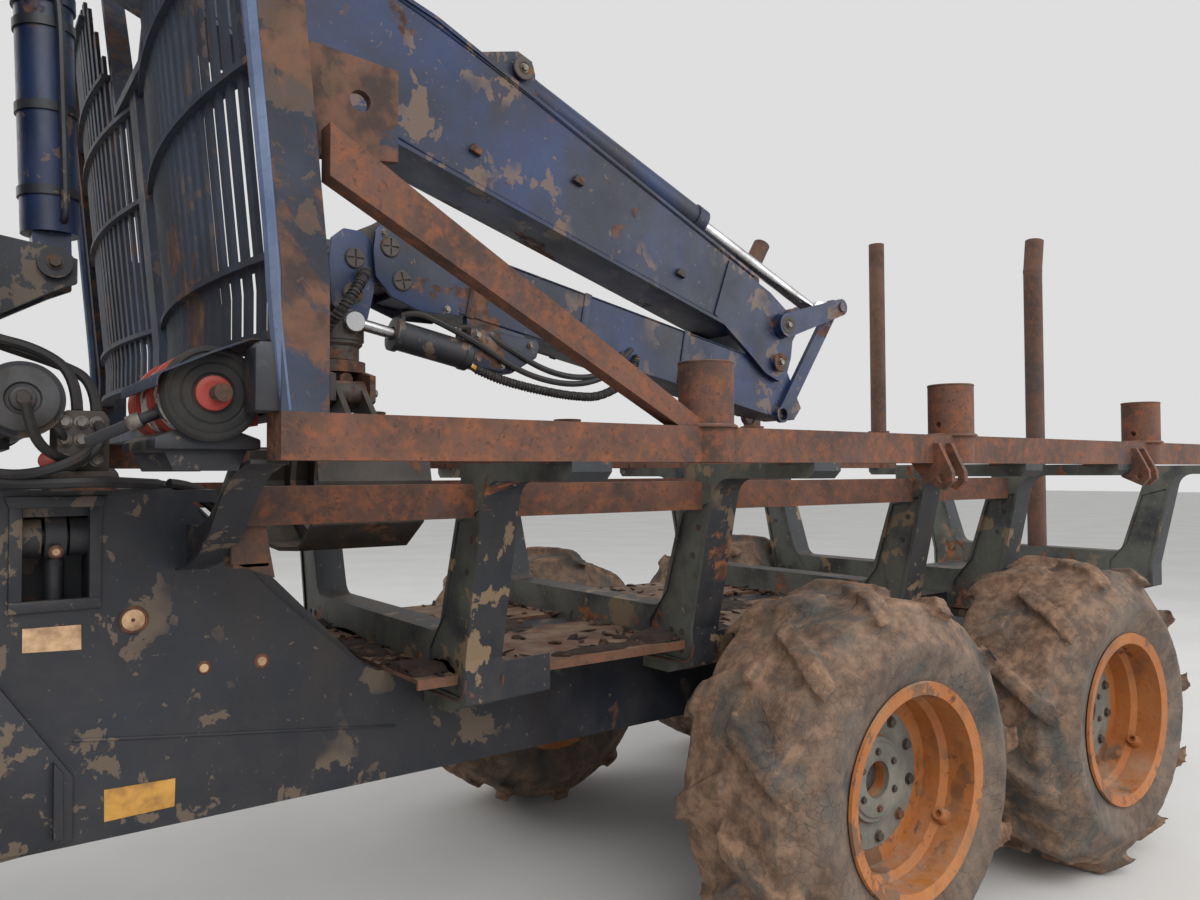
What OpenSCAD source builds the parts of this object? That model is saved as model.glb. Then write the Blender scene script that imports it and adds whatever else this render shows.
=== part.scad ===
// Articulated forestry forwarder with a folded loading crane.
// +X points forward, +Y to the left, +Z up. Places along X are given from the
// axle of the front bogie wheel, and home() moves the whole machine so that its
// origin lies at the middle of its length, on the ground.

/* [Wheels] */
// Outer diameter of a rear tyre over the lugs
tyre_d = 1340; // [1200:5:1500]
// Width of every tyre
tyre_w = 600; // [500:5:650]
// Diameter of the rear rims
rim_d = 674; // [600:2:720]
// Outer diameter of a front tyre over the lugs
front_tyre_d = 1640; // [1500:5:1750]
// Diameter of the front rims
front_rim_d = 864; // [760:2:900]
// Overall width over the tyres
overall_w = 2750; // [2600:10:3000]
// Distance between the two wheels of a bogie
bogie_pitch = 1500; // [1400:10:1700]
// How far the wheel disc lies outside the tyre's middle
disc_offset = 75; // [20:5:140]
// Height of the tread lugs
lug_h = 42; // [20:1:60]

/* [Rear frame] */
// Width over the side plates
frame_w = 900; // [800:10:1000]
// Thickness of the side plates
plate_t = 30; // [16:1:40]
// Underside of the frame
frame_z = 780; // [740:5:820]
// Top of the long frame beam
beam_top = 1120; // [1080:5:1180]
// Top of the tower plates that carry the crane
tower_top = 1700; // [1640:5:1760]
// Front edge of the tower plates
tower_front = 3080; // [3000:10:3120]
// Rear end of the frame beam
frame_rear = -3400; // [-3600:10:-3300]
// Place of the steering pivot
joint_x = 3350; // [3300:10:3450]
// Radius of the steering pins
joint_pin_r = 60; // [45:1:70]

/* [Load bed] */
// Outer face of the upper side rails, from the middle
rail_y = 1300; // [1250:5:1330]
// Width of an upper side rail
rail_w = 100; // [80:5:120]
// Underside of the upper side rails
rail_z = 1766; // [1740:2:1800]
// Height of an upper side rail
rail_h = 100; // [80:5:120]
// Rear end of the upper side rails
rail_rear = -3450; // [-3650:10:-3350]
// Front end of the upper side rails
rail_front = 2080; // [2040:10:2120]
// Outer face of the lower inner rails, from the middle
inner_rail_y = 790; // [770:5:820]
// Width and height of the lower inner rails
inner_rail = 100; // [70:5:110]
// Underside of the lower inner rails
inner_rail_z = 1606; // [1590:2:1640]
// Outer radius of the stake sockets
socket_r = 80; // [65:1:90]
// Inner radius of the stake sockets
socket_bore_r = 66; // [50:0.5:70]
// Top of the stake sockets
socket_top = 2050; // [1980:5:2080]
// Radius of the stakes
stake_r = 58; // [45:1:60]

/* [Load gate] */
// Top of the gate's outer posts
gate_top = 3450; // [3200:10:3600]
// Bottom of the notch that the boom lies in
gate_notch = 2960; // [2900:10:3000]
// How far a panel of the gate bulges forward
gate_bulge = 55; // [0:5:80]
// Width of one gate bar
bar_w = 40; // [20:1:46]

/* [Crane] */
// Place of the crane's slewing axis
pillar_x = 2750; // [2730:5:2780]
// Radius of the crane pillar
pillar_r = 170; // [150:5:185]
// Place of the boom's root pin along X
boom_x = 2800; // [2790:5:2820]
// Height of the boom's root pin
boom_z = 3750; // [3720:5:3780]
// Length from the boom's root pin to the lever pin at its tip
boom_l = 3724; // [3700:2:3750]
// Slope of the boom as it lies in the bed
boom_slope = 20.4; // [20:0.1:20.8]
// Width of the boom
boom_w = 260; // [240:2:280]
// Slope of the folded jib
jib_slope = 11; // [10.5:0.1:11.5]
// Width of the jib
jib_w = 200; // [180:2:204]
// Height of the jib
jib_h = 250; // [220:2:260]
// Wall of the jib
jib_wall = 12; // [8:1:16]
// Running gap between the jib and its extension
slide_gap = 6; // [5:0.5:8]

/* [Front half] */
// Place of the front axle
front_axle_x = 5250; // [5200:10:5300]
// Rear face of the cab
cab_rear = 3720; // [3700:10:3780]
// Front face of the cab
cab_front = 5020; // [4960:10:5030]
// Width of the cab
cab_w = 1480; // [1400:10:1500]
// Underside of the cab
cab_z = 1400; // [1380:5:1440]
// Top of the cab's roof
cab_top = 3330; // [3200:10:3400]
// Thickness of the cab's walls
cab_wall = 60; // [40:2:80]
// Front end of the hood
hood_front = 6640; // [6500:10:6660]
// Front face of the bumper
bumper_x = 6800; // [6760:10:6900]

/* [Hidden] */
$fn = 48;
run = 0.05;
home_x = (bumper_x + rail_rear) / 2;
wheel_y = (overall_w - tyre_w) / 2;
rear_axle_z = tyre_d / 2;
front_axle_z = front_tyre_d / 2;
half_w = frame_w / 2;
spindle_r = 60;
navy = [0.09, 0.11, 0.17];
rust = [0.42, 0.24, 0.15];
orange = [0.86, 0.45, 0.12];
rubber = [0.2, 0.18, 0.17];
chrome = [0.75, 0.76, 0.78];

// Bunks along the bed
bunk_xs = [1300, 390, -848, -1616];
rear_bunk_x = -3300;
bunk_l = 125;
bunk_top = 1240;
// Stake sockets along an upper rail
socket_xs = [860, -360, -1900, rear_bunk_x];
// Pairs of lugs on the outside of an upper rail
lug_xs = [-220, -1732];

module home() translate([-home_x, 0, 0]) children();

// Draws children in both halves of the machine
module both() {
    children();
    mirror([0, 1, 0]) children();
}

// A box from its low and high corners
module box(lo, hi) translate(lo) cube(hi - lo);

// An outline in X and Z, drawn from one Y to another
module plate_xz(points, y0, y1)
    translate([0, y1, 0]) rotate([90, 0, 0]) linear_extrude(y1 - y0) polygon(points);

// An outline in Y and Z, drawn from one X to another
module plate_yz(points, x0, x1)
    translate([x0, 0, 0]) rotate([90, 0, 90]) linear_extrude(x1 - x0) polygon(points);

// A rod along Y through a point in X and Z
module rod_y(x, z, y0, y1, r) translate([x, y1, z]) rotate([90, 0, 0]) cylinder(r = r, h = y1 - y0);

// A rod along X
module rod_x(x0, x1, y, z, r) translate([x0, y, z]) rotate([0, 90, 0]) cylinder(r = r, h = x1 - x0);

// A tube of eight sides along a route of points
module tube_route(pts, r) {
    n = len(pts);
    sides = 8;
    function along(i) = let (a = pts[max(i - 1, 0)], b = pts[min(i + 1, n - 1)], d = b - a) d / norm(d);
    function side_of(t) = let (s = cross(t, abs(t[2]) > 0.9 ? [1, 0, 0] : [0, 0, 1])) s / norm(s);
    rings = [for (i = [0:n - 1]) let (t = along(i), s = side_of(t), u = cross(s, t))
        for (k = [0:sides - 1]) pts[i] + r * (cos(360 * k / sides) * s + sin(360 * k / sides) * u)];
    walls = [for (i = [0:n - 2]) for (k = [0:sides - 1]) let (m = (k + 1) % sides)
        [i * sides + k, i * sides + m, (i + 1) * sides + m, (i + 1) * sides + k]];
    cap_a = [[for (k = [sides - 1:-1:0]) k]];
    cap_b = [[for (k = [0:sides - 1]) (n - 1) * sides + k]];
    polyhedron(points = rings, faces = concat(walls, cap_a, cap_b));
}

// Wheels

// Few lugs and facets keep all six tyres light
lugs_a_side = 11;
tyre_facets = 22;
shoulder = 95;

// Carcass of a tyre with slanted lugs over both shoulders
module tyre_body(d, rd, w) {
    r = d / 2;
    bead = rd / 2 + 0.3;
    h = w / 2;
    base = r - lug_h;
    rotate_extrude($fn = tyre_facets) polygon([[bead, -h + 45], [(bead + base) / 2, -h],
        [base, -h + shoulder],
        [base, h - shoulder], [(bead + base) / 2, h], [bead, h - 45]]);
    intersection() {
        for (i = [0:lugs_a_side - 1], s = [-1, 1])
            rotate([0, 0, 360 * (i + (s + 1) / 4) / lugs_a_side]) lug(base - 40, r, h - 8, s);
        rotate_extrude($fn = tyre_facets) polygon([[base - 60, 8 - h], [r - 75, 8 - h],
            [r, shoulder + 10 - h],
            [r, h - shoulder - 10], [r - 75, h - 8], [base - 60, h - 8]]);
    }
}

// One lug: a slanted block from the middle of the tread to one shoulder
module lug(low, high, out, s) translate([low, 0, 0]) rotate([90, 0, 90]) linear_extrude(high - low + 1)
    polygon([[-140, -14 * s], [-55, -14 * s], [140, out * s], [50, out * s]]);

// Rim with its flanges, stepped barrel, deep-set disc and hub drum
module rim_body(rd, w) {
    r = rd / 2;
    h = w / 2;
    difference() {
        union() {
            rotate_extrude($fn = 96) polygon([[r - 16, -h + 28], [r + 26, -h + 20], [r + 30, -h + 30],
                [r, -h + 44.7], [r, h - 44.7], [r + 30, h - 30], [r + 26, h - 20], [r - 16, h - 28],
                [r - 16, h - 130], [r - 38, h - 150], [r - 38, disc_offset + 8], [150, disc_offset + 8],
                [150, disc_offset - 8], [r - 38, disc_offset - 8], [r - 38, -h + 150], [r - 16, -h + 130]]);
            translate([0, 0, disc_offset - 250]) cylinder(r = 152, h = 262);
        }
        translate([0, 0, disc_offset - 251]) cylinder(r = spindle_r + run, h = 181);
        translate([0, 0, disc_offset - 40]) cylinder(r = 62, h = 60);
    }
}

// Places a wheel drawn about +Z, its outer face away from the middle
module wheel_at(x, z, side) translate([x, side * wheel_y, z]) rotate([-90 * side, 0, 0]) children();

module rear_tyre(x, side) color(rubber) wheel_at(x, rear_axle_z, side) tyre_body(tyre_d, rim_d, tyre_w);
module rear_rim(x, side) color(orange) wheel_at(x, rear_axle_z, side) rim_body(rim_d, tyre_w);
module front_tyre(side)
    color(rubber) wheel_at(front_axle_x, front_axle_z, side) tyre_body(front_tyre_d, front_rim_d, tyre_w);
module front_rim(side) color(orange) wheel_at(front_axle_x, front_axle_z, side)
    rim_body(front_rim_d, tyre_w);

// Inner end of a wheel's spindle bore, from the middle
spindle_in = wheel_y + disc_offset - 250;

// Bogie cases with their spindles, and the swing axle between them
module rear_bogies() color(navy) {
    mid = -bogie_pitch / 2;
    case_in = half_w + 30;
    case_out = wheel_y - tyre_w / 2 - 70;
    both() {
        plate_xz([[mid - 260, rear_axle_z - 170], [mid + 260, rear_axle_z - 170],
            [mid + 300, rear_axle_z], [mid + 260, rear_axle_z + 190], [mid - 260, rear_axle_z + 190],
            [mid - 300, rear_axle_z]], case_in, case_out);
        plate_xz([[-bogie_pitch, rear_axle_z - 150], [0, rear_axle_z - 150],
            [0, rear_axle_z + 150], [-bogie_pitch, rear_axle_z + 150]], case_in, case_out);
        for (x = [0, -bogie_pitch]) {
            rod_y(x, rear_axle_z, case_in, case_out, 190);
            rod_y(x, rear_axle_z, case_out - 1, spindle_in - 5, 130);
            rod_y(x, rear_axle_z, case_out - 1, spindle_in + 170, spindle_r);
        }
        box([mid - 190, half_w - 150, rear_axle_z + 20], [mid + 190, half_w, frame_z]);
    }
    rod_y(mid, rear_axle_z, -case_in - 1, case_in + 1, 104);
}

// Rear frame

// Side plate outline: tower, sloping rear edge and the long beam
tower_points = [[frame_rear, frame_z + 120], [frame_rear + 160, frame_z], [2450, frame_z],
    [tower_front, frame_z - 40], [tower_front, tower_top - 40], [tower_front - 60, tower_top],
    [2120, tower_top], [2040, tower_top - 60], [1560, beam_top + 20], [1520, beam_top],
    [frame_rear, beam_top]];
pocket_x0 = 2310;
pocket_x1 = 2470;
pocket_z0 = 1415;
pocket_z1 = 1655;
lug_low = [690, 760];
lug_high = [1330, 1400];

steer_anchor = [2940, 300, 1080];
steer_eye = [3760, 300, 1080];
steer_len = steer_eye[0] - steer_anchor[0];

module rear_frame() color(navy) {
    difference() {
        union() {
            both() plate_xz(tower_points, half_w - plate_t, half_w);
            box([frame_rear, -half_w + 1, frame_z + 120], [1560, half_w - 1, frame_z + 145]);
            box([frame_rear, -half_w + 1, beam_top - 25], [1560, half_w - 1, beam_top]);
            box([2000, -half_w + 1, tower_top - 40], [tower_front - 60, half_w - 1, tower_top - 5]);
            box([1560, -half_w + 1, frame_z + 30], [tower_front, half_w - 1, frame_z + 60]);
            box([tower_front - 40, -half_w + 1, frame_z], [tower_front, half_w - 1, tower_top - 45]);
            box([1700, -half_w + 1, frame_z + 40], [1725, half_w - 1, 1230]);
            box([frame_rear, -half_w + 1, frame_z + 125], [frame_rear + 25, half_w - 1, beam_top]);
            // Long joint lugs that hold the steering pins
            for (z = [lug_low, lug_high]) joint_lug(z[0], z[1]);
            plate_xz([[tower_front - 1, lug_high[1]], [tower_front - 1, tower_top - 60],
                [tower_front + 150, lug_high[1]]], -15, 15);
            both() plate_xz([[tower_front - 1, lug_low[0] + 20], [tower_front - 200, frame_z + 20],
                [tower_front - 200, frame_z], [tower_front - 1, lug_low[0] - 40]], 100, half_w - 1);
            // Anchor plates and pins of the steering cylinders
            both() for (z = [-92, 67])
                box([steer_anchor[0] - 70, steer_anchor[1] - 70, steer_anchor[2] + z],
                    [tower_front - 20, half_w - 1, steer_anchor[2] + z + 25]);
        }
        for (z = [lug_low, lug_high])
            translate([joint_x, 0, z[0] - 5]) cylinder(r = joint_pin_r + run, h = 80);
        both() box([pocket_x0, half_w - plate_t - 5, pocket_z0], [pocket_x1, half_w + 5, pocket_z1]);
        // Ways in for the steering cylinders through the front wall
        both() box([tower_front - 60, 180, steer_anchor[2] - 100],
            [tower_front + 20, half_w - plate_t - 4, steer_anchor[2] + 100]);
    }
    both() translate([steer_anchor[0], steer_anchor[1], steer_anchor[2] - 80]) cylinder(r = 26, h = 160);
    // Lock cylinder eyes in the pockets, held on a pin that lies along X
    both() {
        difference() {
            box([pocket_x0 - 30, half_w - 190, pocket_z0 - 20],
                [pocket_x1 + 30, half_w - plate_t, pocket_z1 + 1]);
            box([pocket_x0 + 5, half_w - 170, pocket_z0 - 25],
                [pocket_x1 - 5, half_w - plate_t + 5, pocket_z1 - 25]);
        }
        rod_x(pocket_x0 + 4, pocket_x0 + 48, half_w - 75, 1575, 52);
        rod_x(pocket_x1 - 48, pocket_x1 - 4, half_w - 75, 1575, 52);
        rod_x(pocket_x0 + 4, pocket_x1 - 4, half_w - 75, 1575, 26);
        rod_x(pocket_x0 + 56, pocket_x1 - 56, half_w - 75, 1575, 62);
        translate([(pocket_x0 + pocket_x1) / 2, half_w - 75, 1010]) cylinder(r = 24, h = 530);
        translate([(pocket_x0 + pocket_x1) / 2, half_w - 75, frame_z + 60]) cylinder(r = 45, h = 400);
    }
}

module joint_lug(z0, z1) translate([0, 0, z0]) linear_extrude(z1 - z0) {
    polygon([[tower_front - 30, -half_w + 60], [tower_front - 30, half_w - 60], [joint_x, 150],
        [joint_x, -150]]);
    translate([joint_x, 0]) circle(r = 150);
}

// Plates on the frame between the bunks, with turned-down edges
module deck_plates() color(rust) {
    // Rear and front end of each plate
    spans = [[1370, 1500], [460, 1230], [-778, 320]];
    edge = 700;
    for (s = spans) both() {
        box([s[0], 120, beam_top], [s[1], edge, beam_top + 12]);
        box([s[0], edge - 12, beam_top - 18], [s[1], edge, beam_top + 1]);
    }
}

// Bolster of a bunk: cross beam, leaning arms with flared tops, and feet on the frame's sides
arm_foot = [735, 1175];
arm_root = [555, 1240];
arm_lean = 12.6;
arm_inner_lean = 18;
flare_r = 80;
flare_z = 1716;
root_r = 60;
// Faces of an arm across, at a height
function arm_outer(z) = arm_foot[0] + (z - arm_foot[1]) * tan(arm_lean);
function arm_inner(z) = arm_root[0] + (z - arm_root[1]) * tan(arm_inner_lean);
// Points of an arc about a place, from one angle to another
function arc(c, r, a0, a1, n = 5) =
    [for (i = [0:n]) let (a = a0 + (a1 - a0) * i / n) c + r * [cos(a), sin(a)]];
flare_c = [arm_outer(flare_z - flare_r) + flare_r / cos(arm_lean), flare_z - flare_r];
root_c = [arm_inner(bunk_top + root_r) - root_r / cos(arm_inner_lean), bunk_top + root_r];
arm_points = concat([[half_w, 1000], [half_w + 150, 1000], [arm_foot[0], 1045], arm_foot],
    arc(flare_c, flare_r, 180 - arm_lean, 90),
    [[rail_y - 25, flare_z], [rail_y, flare_z + 24], [rail_y, rail_z], [arm_inner(1700), rail_z],
    [arm_inner(1700), 1700]],
    arc(root_c, root_r, -arm_inner_lean, -90),
    [[half_w - 60, bunk_top], [half_w - 60, beam_top], [half_w, beam_top]]);
// Faces of an arm that are set in behind its edges
edge_w = 16;
set_in = 8;
arm_recess = [[half_w + 40, 1060], [arm_foot[0] - edge_w, 1060], [arm_foot[0] - edge_w, arm_foot[1]],
    [arm_outer(1630) - edge_w, 1630], [arm_inner(1590) + edge_w, 1590], [arm_inner(1300) + edge_w, 1300],
    [half_w + 40, 1180]];

module bunk(x) {
    both() difference() {
        plate_yz(arm_points, x - bunk_l / 2, x + bunk_l / 2);
        for (s = [-1, 1]) plate_yz(arm_recess, x + s * bunk_l / 2 - set_in, x + s * bunk_l / 2 + set_in);
    }
    box([x - bunk_l / 2, -half_w + 50, beam_top], [x + bunk_l / 2, half_w - 50, bunk_top]);
}

// Wing plate from an arm's foot back to the edge of the deck
module wing(x) both() translate([0, 0, 1045]) linear_extrude(beam_top + 40 - 1045)
    polygon([[x - bunk_l / 2 + 1, arm_foot[0]], [x - bunk_l / 2 - 190, 712], [x - bunk_l / 2 - 190, 702],
        [x - bunk_l / 2 + 1, arm_foot[0] - 14]]);

module bunks() color(navy) {
    for (x = concat(bunk_xs, [rear_bunk_x])) bunk(x);
    for (x = [bunk_xs[0], bunk_xs[1]]) wing(x);
}

// Lower inner rails, in lengths between the arms
module inner_rails() color(rust) {
    fronts = concat([rail_front - 40 + bunk_l / 2], bunk_xs);
    for (i = [0:len(bunk_xs) - 1]) both()
        box([bunk_xs[i] + bunk_l / 2, inner_rail_y - inner_rail, inner_rail_z],
            [fronts[i] - bunk_l / 2, inner_rail_y, inner_rail_z + inner_rail]);
}

// Upper side rails with stake sockets, lugs and diagonal braces
brace_top = [1950, 2430];
brace_foot = [930, 1860];
hole_plate = [1890, 2570];

pin_hole_z = rail_z + 140;
stake_pin_r = 12;

module lug_plate_yz(x) difference() {
    plate_yz([[rail_y - 1, rail_z + 1], [rail_y - 1, rail_z + 70], [rail_y + 20, rail_z + 70],
        [rail_y + 70, rail_z - 30], [rail_y + 72, rail_z - 64], [rail_y + 40, rail_z - 96],
        [rail_y - 40, rail_z - 60], [rail_y - 90, rail_z + 1]], x - 10, x + 10);
    rod_x(x - 11, x + 11, rail_y + 30, rail_z - 52, 16);
}

module side_rails() color(rust) {
    mid = rail_y - rail_w / 2;
    both() {
        difference() {
            union() {
                box([rail_rear, rail_y - rail_w, rail_z], [rail_front, rail_y, rail_z + rail_h]);
                for (x = socket_xs)
                    translate([x, mid, rail_z]) cylinder(r = socket_r, h = socket_top - rail_z);
                for (x = lug_xs) for (s = [-38, 38]) lug_plate_yz(x + s);
                brace();
            }
            for (x = socket_xs) {
                translate([x, mid, rail_z - 1]) cylinder(r = socket_bore_r, h = 400);
                rod_x(x - socket_r - 1, x + socket_r + 1, mid, pin_hole_z, stake_pin_r);
            }
        }
    }
}

// Diagonal brace from the rail up to the gate's post
module brace() {
    w = 46;
    plate_xz([[brace_foot[0] - w, rail_z + rail_h - 1], [brace_foot[0] + 70, rail_z + rail_h - 1],
        [brace_top[0] + 28, brace_top[1] - 60], [brace_top[0] + 28, brace_top[1] + 55]],
        rail_y - 60, rail_y - 5);
}

// Load gate
gate_base = rail_z + rail_h;
gate_knee = 2150;
gate_lean = 0.096;
gate_x0 = 1980;
gate_x1 = 2070;
function gate_dx(z) = max(0, z - gate_knee) * gate_lean;
// Forward bulge of a panel at a place across
function bulge_at(y) = let (t = (abs(y) - 40) / (rail_y - rail_w - 40))
    gate_bulge * (1 - pow(2 * t - 1, 2));
// Top of the gate at a place across, with its notch for the boom
function gate_top_at(y) = abs(y) < 220 ? gate_notch : min(gate_top, gate_notch + (abs(y) - 220) * 1.6);
rib_zs = [2030, 2200, 2620, 2920];
high_rib_z = 3100;

module post(z0, z1, y0, y1) plate_xz([[gate_x0, z0], [gate_x1 + 10, z0], [gate_x1 + 10, gate_knee],
    [gate_x1 + 10 + gate_dx(z1), z1], [gate_x0 + gate_dx(z1), z1], [gate_x0, gate_knee]], y0, y1);

// One horizontal rib that follows the bulge of a panel
module rib(z, y0, y1) {
    n = 10;
    front = [for (i = [0:n]) let (y = y0 + (y1 - y0) * i / n) [gate_x1 + gate_dx(z) + bulge_at(y), y]];
    back = [for (i = [n:-1:0]) let (y = y0 + (y1 - y0) * i / n) [gate_x1 - 45 + gate_dx(z)
        + bulge_at(y), y]];
    translate([0, 0, z]) linear_extrude(16) polygon(concat(front, back));
}

module gate_bar(y, z0, z1) {
    x = gate_x1 - 30 + bulge_at(y);
    plate_xz([[x, z0], [x + 12, z0], [x + 12, gate_knee], [x + 12 + gate_dx(z1), z1], [x + gate_dx(z1), z1],
        [x, gate_knee]], y - bar_w / 2, y + bar_w / 2);
}

module load_gate() color(navy) {
    inner = rail_y - rail_w;
    bars = 17;
    pitch = (inner - 60) / bars;
    both() {
        post(gate_base, gate_top, inner, rail_y);
        for (i = [0:bars - 1]) let (y = 60 + pitch * (i + 0.5)) gate_bar(y, rib_zs[0], gate_top_at(y));
        for (z = rib_zs) rib(z, 30, inner + 1);
        rib(high_rib_z, 320, inner + 1);
        rib(gate_top - 60, 560, inner + 1);
        notch_edge();
        // Pierced plate behind the post
        difference() {
            plate_xz([[hole_plate[0] - 90, hole_plate[1] - 120], [gate_x0 + 60, hole_plate[1] - 150],
                [gate_x0 + 100, hole_plate[1] + 110], [hole_plate[0] - 90, hole_plate[1] + 90]],
                rail_y - 85, rail_y - 61);
            rod_y(hole_plate[0], hole_plate[1], rail_y - 90, rail_y - 50, 24);
        }
    }
    post(gate_base + 49, gate_notch, -50, 50);
    // Lower beam that joins the outer posts
    box([gate_x0, -inner - 1, gate_base], [gate_x1, inner + 1, gate_base + 50]);
}

// Flat strip along the slope of the notch
module notch_edge() {
    x = gate_x1 - 45 + gate_dx(gate_notch);
    plate_yz([[0, gate_notch - 20], [222, gate_notch - 20], [560, gate_notch + 520],
        [535, gate_notch + 535],
        [205, gate_notch + 12], [0, gate_notch + 12]], x, x + 70);
}

// Stakes that are left: two on the far side and one at the middle of the rear bunk
stake_top = 3330;
straight_stake_top = 3520;

module bent_stake(x, y, z0, knee, top, dx) {
    translate([x, y, z0]) cylinder(r = stake_r, h = knee - z0);
    translate([x, y, knee]) sphere(r = stake_r + 2);
    translate([x, y, knee]) rotate([0, -atan2(dx, top - knee), 0])
        cylinder(r = stake_r, h = norm([dx, top - knee]));
}

module stakes() color(rust) {
    y = -(rail_y - rail_w / 2);
    foot = rail_z + 8;
    bent_stake(socket_xs[2], y, foot, stake_top - 180, stake_top, 110);
    translate([rear_bunk_x, y, foot]) cylinder(r = stake_r, h = straight_stake_top - foot);
    for (x = [socket_xs[2], rear_bunk_x]) rod_x(x - 92, x + 92, y, pin_hole_z, stake_pin_r - 0.3);
    bent_stake(rear_bunk_x, 0, bunk_top, 3080, 3290, 30);
}

// Crane base with its two crosswise pairs of slew cylinders
slew_z = 1920;
slew_dx = 270;
slew_top = tower_top + 400;
spigot_r = 130;

module slew_base() color(navy) {
    translate([pillar_x, 0, tower_top - 5]) cylinder(r = 330, h = 40);
    difference() {
        union() {
            translate([pillar_x, 0, tower_top]) cylinder(r = 235, h = slew_top - tower_top);
            for (s = [-1, 1]) {
                x = pillar_x + s * slew_dx;
                rod_y(x, slew_z, -560, 560, 85);
                rod_y(x, slew_z, 560, 600, 92);
                rod_y(x, slew_z, -600, -560, 92);
                rod_y(x, slew_z, -620, 620, 40);
                box([min(x, pillar_x), -180, slew_z - 110], [max(x, pillar_x), 180, slew_z + 110]);
            }
        }
        translate([pillar_x, 0, slew_top - 150]) cylinder(r = spigot_r + run, h = 160);
    }
}

// Fire extinguisher with its clamp, on a bracket between the gate post and the frame
module fire_extinguisher() color([0.62, 0.15, 0.1]) {
    x = 2185;
    z = 1905;
    rod_y(x, z, 740, 1160, 88);
    translate([x, 740, z]) sphere(r = 88);
    rod_y(x, z, 640, 700, 30);
    rod_y(x, z, 1160, 1185, 95);
    rod_y(x, z, 860, 900, 97);
    rod_y(x, z, 1020, 1060, 97);
    box([gate_x1, 820, z - 60], [x - 60, 1100, z + 60]);
}

// Crane

// Pillar with the boom's fork and the lower eye lugs of the lift cylinder
lift_eye = [2370, 2360];
lift_pin_u = 540;
lift_pin_v = -310;
boom_c = cos(boom_slope);
boom_s = sin(boom_slope);
lift_top = [boom_x - lift_pin_u * boom_c - lift_pin_v * boom_s,
    boom_z - lift_pin_u * boom_s + lift_pin_v * boom_c];
lift_len = norm(lift_top - lift_eye);
lift_angle = atan2(lift_top[0] - lift_eye[0], lift_top[1] - lift_eye[1]);
eye_pin_r = 32;

module pillar() color(navy) {
    foot = slew_top + 5;
    translate([pillar_x, 0, foot]) cylinder(r = 235, h = 45);
    translate([pillar_x, 0, foot - 150]) cylinder(r = spigot_r, h = 160);
    translate([pillar_x, 0, foot]) cylinder(r = pillar_r, h = boom_z - 336 - foot);
    fork_in = boom_w / 2 + 6;
    both() difference() {
        plate_xz([[pillar_x - pillar_r + 5, boom_z - 420], [pillar_x + pillar_r - 5, boom_z - 420],
            [boom_x + 130, boom_z - 60], [boom_x + 110, boom_z + 110], [boom_x - 80, boom_z + 120],
            [boom_x - 140, boom_z]], fork_in, fork_in + 40);
        rod_y(boom_x, boom_z, fork_in - 5, fork_in + 50, 45 + run);
    }
    rod_y(boom_x, boom_z, -fork_in - 55, fork_in + 55, 45);
    box([pillar_x - pillar_r + 5, -fork_in - 1, boom_z - 420],
        [pillar_x + pillar_r - 5, fork_in + 1, boom_z - 335]);
    both() {
        plate_xz([[pillar_x - pillar_r + 40, lift_eye[1] - 230],
            [pillar_x - pillar_r + 40, lift_eye[1] + 80],
            [lift_eye[0] + 20, lift_eye[1] + 50], [lift_eye[0] - 60, lift_eye[1] + 20],
            [lift_eye[0] - 60, lift_eye[1] - 50], [lift_eye[0], lift_eye[1] - 80]], 56, 86);
        rod_y(lift_eye[0], lift_eye[1], 50, 110, eye_pin_r + 14);
    }
    rod_y(lift_eye[0], lift_eye[1], -60, 60, eye_pin_r);
}

// Thick wrapped bundle of hoses from the frame up along the pillar
module hose_bundle() color([0.12, 0.12, 0.13]) {
    tube_route([[pillar_x - 60, 300, 2150], [pillar_x - 110, 330, 2230], [pillar_x - 130, 320, 2380],
        [pillar_x - 110, 290, 2560], [pillar_x - 70, 262, 2760], [pillar_x - 50, 250, 3000],
        [pillar_x - 40, 245, 3250], [pillar_x - 30, 245, 3420]], 55);
    // Clamps that hold the bundle on the pillar
    difference() {
        union() {
            box([pillar_x - 110, pillar_r - 60, 2620], [pillar_x - 20, 250, 2660]);
            box([pillar_x - 80, pillar_r - 60, 3200], [pillar_x, 220, 3240]);
        }
        translate([pillar_x, 0, 2600]) cylinder(r = pillar_r + 0.3, h = 700);
    }
}

// Draws along the lift cylinder: +Z from its lower eye to its upper pin
module on_lift() translate([lift_eye[0], 0, lift_eye[1]]) rotate([0, lift_angle, 0]) children();

module lift_barrel() color([0.1, 0.1, 0.12]) on_lift() {
    difference() {
        union() {
            rod_y(0, 0, -48, 48, 62);
            translate([-50, -48, 10]) cube([100, 96, 100]);
            translate([0, 0, 100]) cylinder(r = 78, h = lift_len - 190);
            translate([0, 0, lift_len - 130]) cylinder(r = 86, h = 40);
        }
        rod_y(0, 0, -60, 60, eye_pin_r + run);
        translate([0, 0, 125]) cylinder(r = 66, h = lift_len - 250);
        translate([0, 0, 300]) cylinder(r = 40 + run, h = lift_len);
    }
}

module lift_rod() color(chrome) on_lift() {
    translate([0, 0, 130]) cylinder(r = 60, h = 30);
    translate([0, 0, 130]) cylinder(r = 40, h = lift_len - 170);
    difference() {
        rod_y(0, lift_len, -40, 40, 52);
        rod_y(0, lift_len, -45, 45, 33);
    }
}

// Draws in the boom's own frame: +X along the boom to its tip, +Z up from it
module on_boom() translate([boom_x, 0, boom_z]) rotate([0, -boom_slope, 0]) mirror([1, 0, 0]) children();

// Jib pin and lever pin at the boom's tip, and the lug of the jib cylinder
jib_pin = [3759, -181];
lever_pin = [boom_l, 0];
lever_end = [4053, 259];
strut_foot = [3885, -401];
cyl_lug = [2040, 330];
tip_pin_r = 36;

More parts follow.
